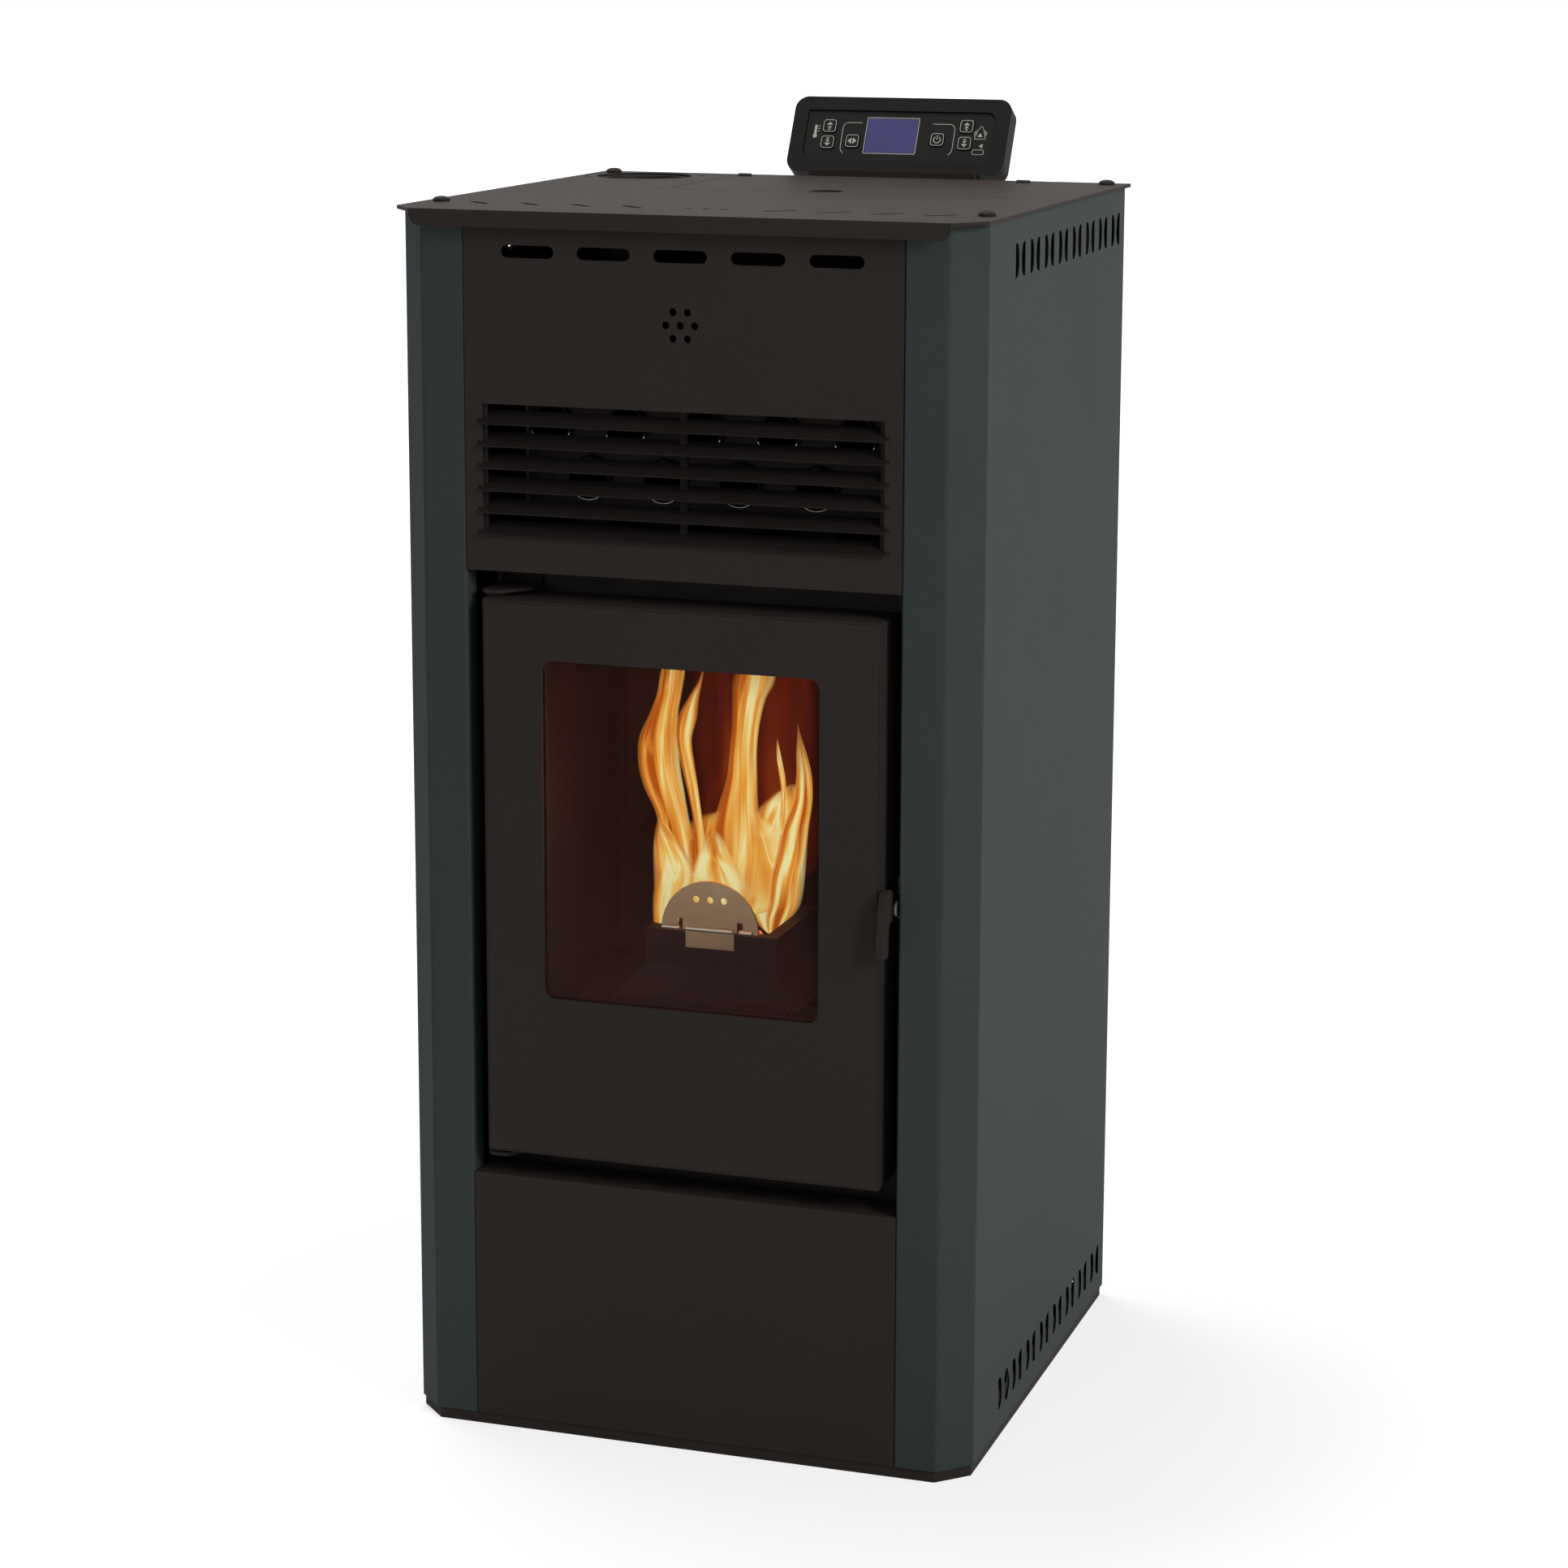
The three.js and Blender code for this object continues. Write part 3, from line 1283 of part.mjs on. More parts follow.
/** The tube bank: staggered rows of air tubes welded between two end plates. */
function makeExchanger() {
  const inner = fireHalf - exchangerWall - gap;
  const high = exchangerHigh - exchangerWall - gap;
  const endPlates = [
    box(-inner, inner, exchangerFront, exchangerFront + exchangerWall, exchangerLow, high),
    box(-inner, inner, fireBackY - exchangerWall, fireBackY, exchangerLow, high),
  ];
  const tubeFront = fireFrontY + fireFrame - tubeProud;
  const tubes = [];
  const bores = [];
  for (let row = 0; row < tubeRows; row++) {
    const count = row % 2 ? tubesInLongRow - 1 : tubesInLongRow;
    for (let i = 0; i < count; i++) {
      const place = v2((i - (count - 1) / 2) * tubePitch, exchangerLow + tubeFirstRow + row * tubeRowPitch);
      tubes.push(bar(tubeRadius, "y", tubeFront, fireBackY, place, tubeSides));
      bores.push(bar(tubeRadius - tubeWall, "y", tubeFront - 1, fireBackY + 1, place, tubeSides));
    }
  }
  return cut(join(...endPlates, ...tubes), ...bores);
}

// ---------------------------------------------------------------- door

const doorRect = [-doorHalf, doorHalf, doorBottom, doorTop];

function faceRing(outer, inner, y0, y1) {
  return cut(
    prism(rectangle(...outer), "y", y0, y1),
    prism(rectangle(...inner), "y", y0 - 1, y1 + 1),
  );
}

function makeDoorFrame() {
  const window = [-windowHalf, windowHalf, windowBottom, windowTop];
  const edge = doorEdge;
  const section = (inset, y0, y1) => prism(rectangle(...shrink(doorRect, inset), 2), "y", y0, y1);
  const body = join(
    section(edge, doorFrontY, doorFrontY + edge + 1),
    section(edge * 0.3, doorFrontY + edge * 0.3, doorFrontY + edge + 1),
    section(0, doorFrontY + edge, doorBackY),
  );
  const hollow = prism(rectangle(...shrink(doorRect, doorWall)), "y", doorFrontY + doorWall,
    doorBackY - doorWall);
  const rearOpening = prism(rectangle(...shrink(doorRect, doorRearFlange)), "y", doorBackY - doorWall - 1,
    doorBackY + 1);
  const opening = prism(rectangle(...window, windowCorner), "y", doorFrontY - 1, doorFrontY + doorWall + 1);
  const pinHole = bar(hingePinRadius + gap, "z", doorBottom - 1, doorTop + 1, v2(hingeX, hingeY), pinFacets);
  const pivotHole = bar(pivotRadius + gap, "x", doorHalf - doorWall - 1, doorHalf + 1,
    v2(handleY, handleZ), pivotFacets);
  const pinHoles = pinHole.intersect(join(
    box(hingeX - 10, hingeX + 10, hingeY - 10, hingeY + 10, doorBottom - 1, doorBottom + hingePinLength),
    box(hingeX - 10, hingeX + 10, hingeY - 10, hingeY + 10, doorTop - hingePinLength, doorTop + 1),
  ));
  return cut(body, hollow, rearOpening, opening, pinHoles, pivotHole);
}

const glassFront = doorFrontY + doorWall + gap;

function makeGlass() {
  const pane = rectangle(-windowHalf - glassMargin, windowHalf + glassMargin, windowBottom - glassMargin,
    windowTop + glassMargin, windowCorner);
  return prism(pane, "y", glassFront, glassFront + glassThickness);
}

function makeRetainer() {
  const margin = glassMargin - 1;
  const outer = [-windowHalf - margin, windowHalf + margin, windowBottom - margin, windowTop + margin];
  const front = glassFront + glassThickness + gap;
  return faceRing(outer, shrink(outer, retainerWidth - 6), front, front + retainerThickness);
}

function makeDoorSeal() {
  const outer = shrink(doorRect, doorSealInset);
  return faceRing(outer, shrink(outer, doorSealWidth), doorBackY + gap, fireFrontY - gap);
}

/** The lever, in the YZ plane: a boss on the pivot, a grip hanging in front of it and a nose behind. */
function makeHandle() {
  const left = doorHalf + gap + handleStandOff;
  const lever = fillet([
    v2(handleY + 2, handleZ + handleBoss), v2(handleY - handleGripReach + 12, handleZ + handleGripTop),
    v2(handleFrontY + 4, handleZ + 4), v2(handleFrontY, handleZ - handleGripDrop),
    v2(handleFrontY + handleGripWidth, handleZ - handleGripDrop - 2),
    v2(handleFrontY + handleGripWidth + 2, handleZ - 6),
    v2(handleY, handleZ - handleBoss),
  ], [4, 9, 8, 3, 3, 6, 3]);
  const boss = bar(handleBoss, "x", left, left + handleThickness, v2(handleY, handleZ), discFacets);
  const nose = prism(fillet([
    v2(handleY, handleZ - handleNoseLow), v2(handleY + handleNose, handleZ - handleNoseLow),
    v2(handleY + handleNose, handleZ + handleNoseHigh), v2(handleY, handleZ + handleNoseHigh),
  ], [0, handleNoseCorner, handleNoseCorner, 0]), "x", left, left + handleThickness);
  const bore = bar(pivotRadius + gap, "x", left - 1, left + handleThickness + 1, v2(handleY, handleZ),
    pivotFacets);
  return cut(join(prism(lever, "x", left, left + handleThickness), boss, nose), bore);
}

function makeHandlePivot() {
  const left = doorHalf - doorWall - 6;
  const right = doorHalf + gap + handleStandOff + handleThickness + gap;
  return join(
    bar(pivotRadius, "x", left, right + 1, v2(handleY, handleZ), pivotFacets),
    bar(pivotHeadRadius, "x", right, right + pivotHeadHeight, v2(handleY, handleZ), pivotFacets),
    bar(pivotHeadRadius, "x", left - 3, left + 3, v2(handleY, handleZ), pivotFacets),
  );
}

function makeCatch() {
  const left = doorHalf + gap + handleStandOff;
  const noseEnd = handleY + handleNose;
  const thickness = fireFrontY - gap - noseEnd - gap;
  return join(
    box(left - 4, left + handleThickness + 1, noseEnd + gap, noseEnd + gap + thickness,
      handleZ - catchHeight / 2,
      handleZ + catchHeight / 2),
  );
}

function makeHingeBracket(top) {
  const near = top ? doorTop + bracketGap : doorBottom - bracketGap - bracketThickness;
  const left = hingeX - bracketBehind;
  const leaf = prism(fillet([
    v2(left, hingeY - bracketBehind), v2(left + bracketWidth / 2, hingeY - bracketBehind),
    v2(left + bracketWidth, hingeY + bracketTongue),
    v2(left + bracketWidth, fireFrontY - gap), v2(left, fireFrontY - gap),
  ], [bracketRadius, bracketRadius, bracketRadius, 0, 0]), "z", near, near + bracketThickness);
  const flangeLow = top ? near : near + bracketThickness - bracketFlangeHeight;
  const flange = box(left, left + bracketWidth, fireFrontY - gap - bracketThickness, fireFrontY - gap,
    flangeLow,
    flangeLow + bracketFlangeHeight);
  const pinLow = top ? near - hingePinLength : near + 0.5;
  const pin = bar(hingePinRadius, "z", pinLow, pinLow + hingePinLength + bracketThickness - 0.5,
    v2(hingeX, hingeY), pinFacets);
  const washerLow = top ? near - bracketGap + gap : near + bracketThickness;
  const washer = bar(hingePinRadius + 3, "z", washerLow, washerLow + bracketGap - gap,
    v2(hingeX, hingeY), pinFacets);
  return join(leaf, flange, pin, washer);
}

// ---------------------------------------------------------------- fans, air intake, electrics

const smokeFanX = flueX;
const smokeLeft = smokeFanX - smokeFanWidth / 2;
const smokeRight = smokeFanX + smokeFanWidth / 2;

function makeSmokeHousing() {
  const centre = v2(smokeFanY, smokeFanZ);
  const ductLow = smokeFanZ - 22;
  const ductRear = fireBackY + gap + smokeDuctDepth;
  const front = fireBackY + gap;
  const portTop = fireBottom + smokeDuctHeight;
  const w = smokeFanWall;
  const outer = join(
    bar(smokeFanRadius, "x", smokeLeft, smokeRight, centre, wheelFacets),
    bar(flueRadius, "z", smokeFanZ, smokeOutletTop, v2(flueX, flueY), flueFacets),
    box(smokeLeft, smokePortX + smokePortHalf + 6, front, ductRear, fireBottom, portTop),
    box(smokeLeft, smokeRight, front, ductRear, ductLow, portTop),
    box(smokeLeft, smokeRight, ductRear - 1, smokeFanY - smokeFanRadius / 2, ductLow, smokeFanZ + 22),
  );
  const inner = join(
    bar(smokeFanRadius - w, "x", smokeLeft + w, smokeRight - w, centre, 28),
    bar(flueRadius - fluePipeWall, "z", smokeFanZ, smokeOutletTop + 1, v2(flueX, flueY), flueFacets)
      .intersect(box(smokeLeft + w, smokeRight - w, flueY - flueRadius, flueY + flueRadius, smokeFanZ,
        smokeOutletTop - 12)),
    bar(flueRadius - fluePipeWall, "z", smokeOutletTop - 12, smokeOutletTop + 1, v2(flueX, flueY),
      flueFacets),
    box(smokeLeft + w, smokePortX + smokePortHalf + 6 - w, front + w, ductRear - w, fireBottom + w,
      portTop - w),
    box(smokeLeft + w, smokeRight - w, front + w, ductRear - w, ductLow + w, portTop - w),
    box(smokeLeft + w, smokeRight - w, ductRear - w - 1, smokeFanY - smokeFanRadius / 2, ductLow + w,
      smokeFanZ + 22 - w),
    box(smokePortX - smokePortHalf, smokePortX + smokePortHalf, front - 1, front + w + 1, fireBottom + 8,
      fireBottom + smokeDuctHeight - 8),
  );
  const shaftHole = bar(smokeShaftRadius + gap, "x", smokeRight - w - 1, smokeRight + 6, centre, 12);
  return cut(join(cut(outer, inner), makeSmokeMotor()), shaftHole);
}

function makeSmokeWheel() {
  const centre = v2(smokeFanY, smokeFanZ);
  const back = smokeRight - smokeFanWall - 4;
  const front = smokeLeft + smokeFanWall + 4;
  const blades = [];
  for (let i = 0; i < smokeBladeCount; i++) {
    const blade = new THREE.BoxGeometry(back - front, smokeWheelRadius - 10, 2);
    blade.translate((front + back) / 2, (smokeWheelRadius - 10) / 2 + 9, 0);
    blade.rotateX((2 * Math.PI * i) / smokeBladeCount);
    blade.translate(0, centre.x, centre.y);
    blades.push(solid(blade));
  }
  return join(
    bar(smokeWheelRadius, "x", back - 2, back, centre, 24),
    bar(12, "x", front + 4, back, centre, 16),
    bar(smokeShaftRadius, "x", back - 1, smokeRight + gap, centre, 12),
    ...blades,
  );
}

function makeSmokeMotor() {
  const centre = v2(smokeFanY, smokeFanZ);
  const left = smokeRight - 1;
  return join(
    bar(smokeMotorRadius, "x", left, left + smokeMotorLength, centre, 20),
    bar(smokeMotorRadius + 8, "x", left, left + 4, centre, 20),
    box(left + 10, left + smokeMotorLength - 10, smokeFanY - 26, smokeFanY + 26, trayFloor + gap,
      smokeFanZ - smokeMotorRadius / 2),
  );
}

function makeRoomFanHousing() {
  const centre = v2(roomFanY, roomFanZ);
  const scroll = prism([
    ...arc(centre, roomFanRadius + sheet, roomScrollStart, roomScrollSweep, 16),
    ...arc(centre, roomFanRadius, roomScrollStart + roomScrollSweep, -roomScrollSweep, 16),
  ], "x", roomFanLeft, roomFanRight);
  const cheek = rectangle(roomFanY - roomFanRadius - 2, roomFanY + roomFanRadius + 2, trayFloor + gap,
    roomFanZ + roomFanRadius + 2, 10);
  const cheeks = [
    prism(cheek, "x", roomFanLeft - sheet, roomFanLeft + 0.5),
    prism(cheek, "x", roomFanRight - 0.5, roomFanRight + sheet),
  ];
  const shaftHole = bar(smokeShaftRadius + gap, "x", roomFanRight - 2, roomFanRight + sheet + 5, centre, 12);
  return cut(join(scroll, ...cheeks, makeRoomFanMotor()), shaftHole);
}

function makeRoomFanWheel() {
  const centre = v2(roomFanY, roomFanZ);
  const left = roomFanLeft + 6;
  const right = roomFanRight - 6;
  const blades = [];
  for (let i = 0; i < roomBladeCount; i++) {
    const blade = new THREE.BoxGeometry(right - left, 11, 1.6);
    blade.rotateX(THREE.MathUtils.degToRad(28));
    blade.translate((left + right) / 2, roomWheelRadius - 8, 0);
    blade.rotateX((2 * Math.PI * i) / roomBladeCount);
    blade.translate(0, centre.x, centre.y);
    blades.push(solid(blade));
  }
  return join(
    bar(roomWheelRadius, "x", left, left + roomWheelThickness, centre, 24),
    bar(roomWheelRadius, "x", right - roomWheelThickness, right, centre, 24),
    bar(smokeShaftRadius, "x", left, roomFanRight + sheet + gap, centre, 12),
    ...blades,
  );
}

function makeRoomFanMotor() {
  const centre = v2(roomFanY, roomFanZ);
  const left = roomFanRight + sheet - 1;
  return join(
    bar(roomMotorRadius, "x", left, left + roomMotorLength, centre, 20),
    bar(roomMotorRadius + 6, "x", left, left + 4, centre, 20),
  );
}

function makeIntakePipe() {
  const at = v2(intakeX, intakeZ);
  return cut(
    bar(intakeRadius, "y", fireBackY + gap, casingDepth + intakeProud, at, 24),
    bar(intakeRadius - intakeWall, "y", fireBackY - 1, casingDepth + intakeProud + 1, at, 24),
  );
}

function makeControlBox() {
  const right = halfWidth - sheet - gap;
  return box(right - boxDepth, right, boxFrontY, boxFrontY + boxLength, boxBottom, boxBottom + boxHeight);
}

const rockerCentreZ = inletBottom + inletHeight - rockerHeight / 2 - 9;
const inletFront = rearPanelBack + gap;

function makeInlet() {
  const half = inletWidth / 2;
  const flange = prism(rectangle(inletX - half, inletX + half, inletBottom, inletBottom + inletHeight,
    4), "y",
    inletFront, inletFront + inletFlange);
  const body = box(inletX - half + 5, inletX + half - 5, inletFront - inletBody, inletFront + 0.5,
    inletBottom + 5, inletBottom + inletHeight - 5);
  const socketZ = inletBottom + 12 + socketHeight / 2;
  const socketBottomY = inletFront + inletFlange - socketDepth;
  const socket = prism(fillet([
    v2(inletX - socketWidth / 2, socketZ - socketHeight / 2),
    v2(inletX + socketWidth / 2, socketZ - socketHeight / 2),
    v2(inletX + socketWidth / 2, socketZ + socketHeight / 4),
    v2(inletX + socketWidth / 4, socketZ + socketHeight / 2),
    v2(inletX - socketWidth / 4, socketZ + socketHeight / 2),
    v2(inletX - socketWidth / 2, socketZ + socketHeight / 4),
  ], 1.5), "y", socketBottomY, inletFront + inletFlange + 1);
  const pins = [-7, 0, 7].map((x) =>
    box(inletX + x - 1, inletX + x + 1, socketBottomY - 1, socketBottomY + 12, socketZ - 2.5, socketZ + 2.5));
  const pocket = box(
    inletX - rockerWidth / 2 - gap, inletX + rockerWidth / 2 + gap,
    inletFront + inletFlange - rockerThickness - 3, inletFront + inletFlange + 1,
    rockerCentreZ - rockerHeight / 2 - rockerMargin, rockerCentreZ + rockerHeight / 2 + rockerMargin,
  );
  return join(cut(join(flange, body), socket, pocket), ...pins);
}

function makeRocker() {
  const face = inletFront + inletFlange;
  const half = rockerHeight / 2;
  const profile = [
    v2(face - rockerThickness, rockerCentreZ - half * 0.6), v2(face - 1, rockerCentreZ - half),
    v2(face + rockerCrown, rockerCentreZ - half), v2(face + 0.4, rockerCentreZ),
    v2(face + rockerCrown * 0.4, rockerCentreZ + half), v2(face - 1, rockerCentreZ + half),
    v2(face - rockerThickness, rockerCentreZ + half * 0.6),
  ];
  return prism(profile, "x", inletX - rockerWidth / 2, inletX + rockerWidth / 2);
}

// ---------------------------------------------------------------- control panel

// The panel's own axes: u to the right, v up its face, w out of its face. Its origin is the middle of the face.
const panelFrame = new THREE.Group();
panelFrame.rotation.x = Math.PI / 2 - lean;
panelFrame.position.set(
  panelCentreX,
  panelFootY + (panelTall / 2) * Math.sin(lean),
  panelBottomZ + (panelTall / 2) * Math.cos(lean),
);
casingFrame.add(panelFrame);

const bezelHoles = (swell) => keyPlaces.map(({ u, v }) => {
  const half = keySize / 2 + swell;
  return prism(rectangle(u - half, u + half, v - half, v + half, keyCorner + swell), "z", -panelDeep / 2, 2);
});

const bezelOutline = (swell) => fillet([
  v2(-bezelWidth / 2 - swell, -bezelTall / 2 - swell), v2(bezelWidth / 2 + swell, -bezelTall / 2 - swell),
  v2(bezelWidth / 2 + swell, bezelTall / 2 + swell), v2(-bezelWidth / 2 - swell, bezelTall / 2 + swell),
], [bezelCorner, bezelCorner, bezelCorner, 0.5]);

function makePanelHousing() {
  const halfU = panelWidth / 2;
  const halfV = panelTall / 2;
  const shell = join(
    prism(rectangle(-halfU, halfU, -halfV, halfV, panelCorner), "z", -panelDeep, -1.5),
    prism(rectangle(-halfU + 1.5, halfU - 1.5, -halfV + 1.5, halfV - 1.5, panelCorner - 1.5), "z", -2, 0),
  );
  const floor = -bezelRecess - bezelThickness - gap;
  const keyWells = keyPlaces.map(({ u, v }) => {
    const half = keySize / 2 + keyMargin;
    return box(u - half, u + half, v - half, v + half, floor - 4, floor + 1);
  });
  return cut(
    shell,
    prism(bezelOutline(gap), "z", floor, 1),
    ...keyWells,
  );
}

function makeBezel() {
  const plate = prism(bezelOutline(0), "z", -bezelRecess - bezelThickness, -bezelRecess);
  const screen = box(screenX - screenWidth / 2 - gap, screenX + screenWidth / 2 + gap, -screenTall / 2 - gap,
    screenTall / 2 + gap, -bezelRecess - 2 - gap, 1);
  return cut(plate, screen, ...bezelHoles(keyMargin));
}

function makeScreen() {
  const top = -bezelRecess + 0.2;
  return box(screenX - screenWidth / 2, screenX + screenWidth / 2, -screenTall / 2, screenTall / 2,
    top - screenThickness + 0.1, top);
}

function makeKey({ u, v }) {
  const half = keySize / 2;
  const top = -bezelRecess + keyProud;
  const floor = -bezelRecess - bezelThickness - gap - 4;
  return prism(rectangle(u - half, u + half, v - half, v + half, keyCorner), "z",
    floor + keyTravel + gap * 2, top);
}

/** The neck under the panel: a leaf below the top plate, folded up behind its rear edge. */
function makeNeck() {
  const foot = panelFrame.position.clone();
  const v = new THREE.Vector3(0, Math.sin(lean), Math.cos(lean));
  const w = new THREE.Vector3(0, -Math.cos(lean), Math.sin(lean));
  const under = foot.clone().addScaledVector(v, -panelTall / 2 - gap - neckSheet);
  const backLow = under.clone().addScaledVector(w, -panelDeep - gap - neckSheet);
  const backHigh = backLow.clone().addScaledVector(v, panelTall * neckReach);
  const riseY = plateRearY + gap + neckSheet;
  const riseZ = under.z + (under.y - riseY) * Math.tan(lean);
  const path = [
    v2(plateRearY - neckRun, casingHeight - neckSheet), v2(riseY, casingHeight - neckSheet),
    v2(riseY, riseZ), v2(backLow.y, backLow.z), v2(backHigh.y, backHigh.z),
  ];
  const outline = foldedStrip(path, neckSheet);
  return prism(outline, "x", panelCentreX - neckHalf, panelCentreX + neckHalf);
}

// ---------------------------------------------------------------- the assembly

addNode("base_frame", makeBase(), materials.blackPaint);
addNode("left_side_panel", makeSidePanel(-1), materials.slatePaint);
addNode("right_side_panel", makeSidePanel(1), materials.slatePaint);
addNode("rear_panel", makeRearPanel(), materials.blackPaint);
addNode("upper_front_panel", makeUpperPanel(), materials.blackPaint);
addNode("lower_front_panel", makeLowerPanel(), materials.blackPaint);
addNode("air_grille", makeGrille(), materials.blackPaint);

addNode("top_plate", makeTopPlate(), materials.blackPaint);
for (const place of screwPlaces()) addNode(place.name, makeTopScrew(place), materials.blackPaint);
addNode("hopper_lid", makeLid(), materials.blackPaint);
lidKnuckles(0).forEach((knuckle, i) => {
  addNode(i ? "lid_hinge_right" : "lid_hinge_left", knuckle, materials.steel);
});
addNode("flue_pipe", makeFluePipe(), materials.steel);

addNode("lid_seal", ringBand(sealOuter, sealInner, sealBottom, sealTop), materials.rope);
addNode("hopper", makeHopper(), materials.steel);
addNode("hopper_guard", makeHopperGuard(), materials.steel);
addNode("auger_tube", makeAugerTube(), materials.steel);
addNode("auger_screw", makeAugerScrew(), materials.steel);
addNode("auger_motor", makeAugerMotor(), materials.motor);
addNode("feed_chute", makeFeedChute(), materials.steel);

addNode("firebox_shell", makeFirebox(), materials.castIron);
addNode("firebox_lining", makeLining(), materials.lining);
addNode("baffle_plate", makeBaffle(), materials.castIron);
addNode("burn_pot_holder", makePotHolder(), materials.castIron);
addNode("burn_pot", makeBurnPot(), materials.castIron);
addNode("flame_plate", makeFlamePlate(), materials.flameSteel);
addNode("ash_drawer", makeAshDrawer(), materials.steel);
addNode("igniter", makeIgniter(), materials.steel);
addNode("heat_exchanger", makeExchanger(), materials.steel);
addNode("exchanger_hood", makeExchangerHood(), materials.steel);

addNode("door_frame", makeDoorFrame(), materials.blackPaint);
addNode("door_glass", makeGlass(), materials.glass);
addNode("glass_retainer", makeRetainer(), materials.steel);
addNode("door_seal", makeDoorSeal(), materials.rope);
addNode("door_handle", makeHandle(), materials.blackPaint);
addNode("handle_pivot", makeHandlePivot(), materials.steel);
addNode("door_catch", makeCatch(), materials.steel);
addNode("hinge_bracket_top", makeHingeBracket(true), materials.blackPaint);
addNode("hinge_bracket_bottom", makeHingeBracket(false), materials.blackPaint);

addNode("smoke_fan_housing", makeSmokeHousing(), materials.steel);
addNode("smoke_fan_wheel", makeSmokeWheel(), materials.steel);
addNode("room_fan_housing", makeRoomFanHousing(), materials.steel);
addNode("room_fan_wheel", makeRoomFanWheel(), materials.steel);
addNode("air_intake_pipe", makeIntakePipe(), materials.steel);
addNode("control_box", makeControlBox(), materials.darkPlastic);
addNode("power_inlet", makeInlet(), materials.darkPlastic);
addNode("power_switch", makeRocker(), materials.darkPlastic);

addNode("panel_neck", makeNeck(), materials.blackPaint);
addNode("panel_housing", makePanelHousing(), materials.darkPlastic, panelFrame);
addNode("panel_bezel", makeBezel(), materials.keypad, panelFrame);
addNode("panel_screen", makeScreen(), materials.screen, panelFrame);
for (const place of keyPlaces) addNode(place.name, makeKey(place), materials.keypad, panelFrame);

export default stove;
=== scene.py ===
import json
import math
import random

import bmesh
import bpy
from mathutils import Matrix, Vector

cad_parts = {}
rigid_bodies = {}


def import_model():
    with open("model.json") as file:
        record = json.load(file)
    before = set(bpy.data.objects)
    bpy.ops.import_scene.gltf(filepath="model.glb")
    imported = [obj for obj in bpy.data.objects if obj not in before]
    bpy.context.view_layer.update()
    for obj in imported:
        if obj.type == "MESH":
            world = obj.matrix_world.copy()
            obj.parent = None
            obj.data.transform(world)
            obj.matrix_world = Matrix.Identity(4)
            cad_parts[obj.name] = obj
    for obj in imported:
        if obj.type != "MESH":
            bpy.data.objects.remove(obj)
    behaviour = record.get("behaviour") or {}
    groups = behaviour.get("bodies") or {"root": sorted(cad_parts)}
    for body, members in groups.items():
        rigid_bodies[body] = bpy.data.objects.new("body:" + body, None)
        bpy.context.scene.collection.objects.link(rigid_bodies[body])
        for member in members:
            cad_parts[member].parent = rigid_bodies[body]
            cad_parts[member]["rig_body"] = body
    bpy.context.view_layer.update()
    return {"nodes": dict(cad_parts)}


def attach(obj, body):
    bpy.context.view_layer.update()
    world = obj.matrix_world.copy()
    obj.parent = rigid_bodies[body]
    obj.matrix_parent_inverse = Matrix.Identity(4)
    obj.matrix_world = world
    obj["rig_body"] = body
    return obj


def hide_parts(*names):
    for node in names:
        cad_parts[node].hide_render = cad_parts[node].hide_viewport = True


# Pellet stove: finishes, fine edges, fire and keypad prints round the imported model.
# Lengths in the dictionaries are millimetres in the model's frame, angles are degrees.

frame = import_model()
nodes = frame["nodes"]
mm = 0.001
scene = bpy.context.scene
print("frame loaded:", len(nodes), "nodes")


# camera, floor and light

camera = {
    "place": (1004.38, -3046.51, 1231.17),
    "turn": 18.231,
    "tilt": 11.305,
    "roll": 0.211,
    "lens": 87.65,
    "shiftY": -0.06,
}


def makeCamera():
    data = bpy.data.cameras.new("camera")
    data.lens = camera["lens"]
    data.sensor_width = 36
    data.shift_y = camera["shiftY"]
    data.clip_start, data.clip_end = 0.05, 200
    seat = bpy.data.objects.new("camera", data)
    scene.collection.objects.link(seat)
    seat.matrix_world = (
        Matrix.Translation(Vector(camera["place"]) * mm)
        @ Matrix.Rotation(math.radians(camera["turn"]), 4, "Z")
        @ Matrix.Rotation(math.radians(90 - camera["tilt"]), 4, "X")
        @ Matrix.Rotation(math.radians(camera["roll"]), 4, "Z")
    )
    scene.camera = seat


# a socket that adds Math nodes when it is used in a sum
class Wire:
    def __init__(self, graph, socket):
        self.graph = graph
        self.socket = socket

    def worked(self, operation, first, second=0.0):
        return self.graph.add("ShaderNodeMath", {"operation": operation}, {0: first, 1: second})

    def __add__(self, other):
        return self.worked("ADD", self, other)

    def __radd__(self, other):
        return self.worked("ADD", other, self)

    def __sub__(self, other):
        return self.worked("SUBTRACT", self, other)

    def __rsub__(self, other):
        return self.worked("SUBTRACT", other, self)

    def __mul__(self, other):
        return self.worked("MULTIPLY", self, other)

    def __rmul__(self, other):
        return self.worked("MULTIPLY", other, self)

    def __truediv__(self, other):
        return self.worked("DIVIDE", self, other)

    def __pow__(self, other):
        return self.worked("POWER", self, other)

    def most(self, other):
        return self.worked("MAXIMUM", self, other)

    def least(self, other):
        return self.worked("MINIMUM", self, other)

    def sized(self):
        return self.worked("ABSOLUTE", self)

    def clamped(self):
        return self.most(0.0).least(1.0)


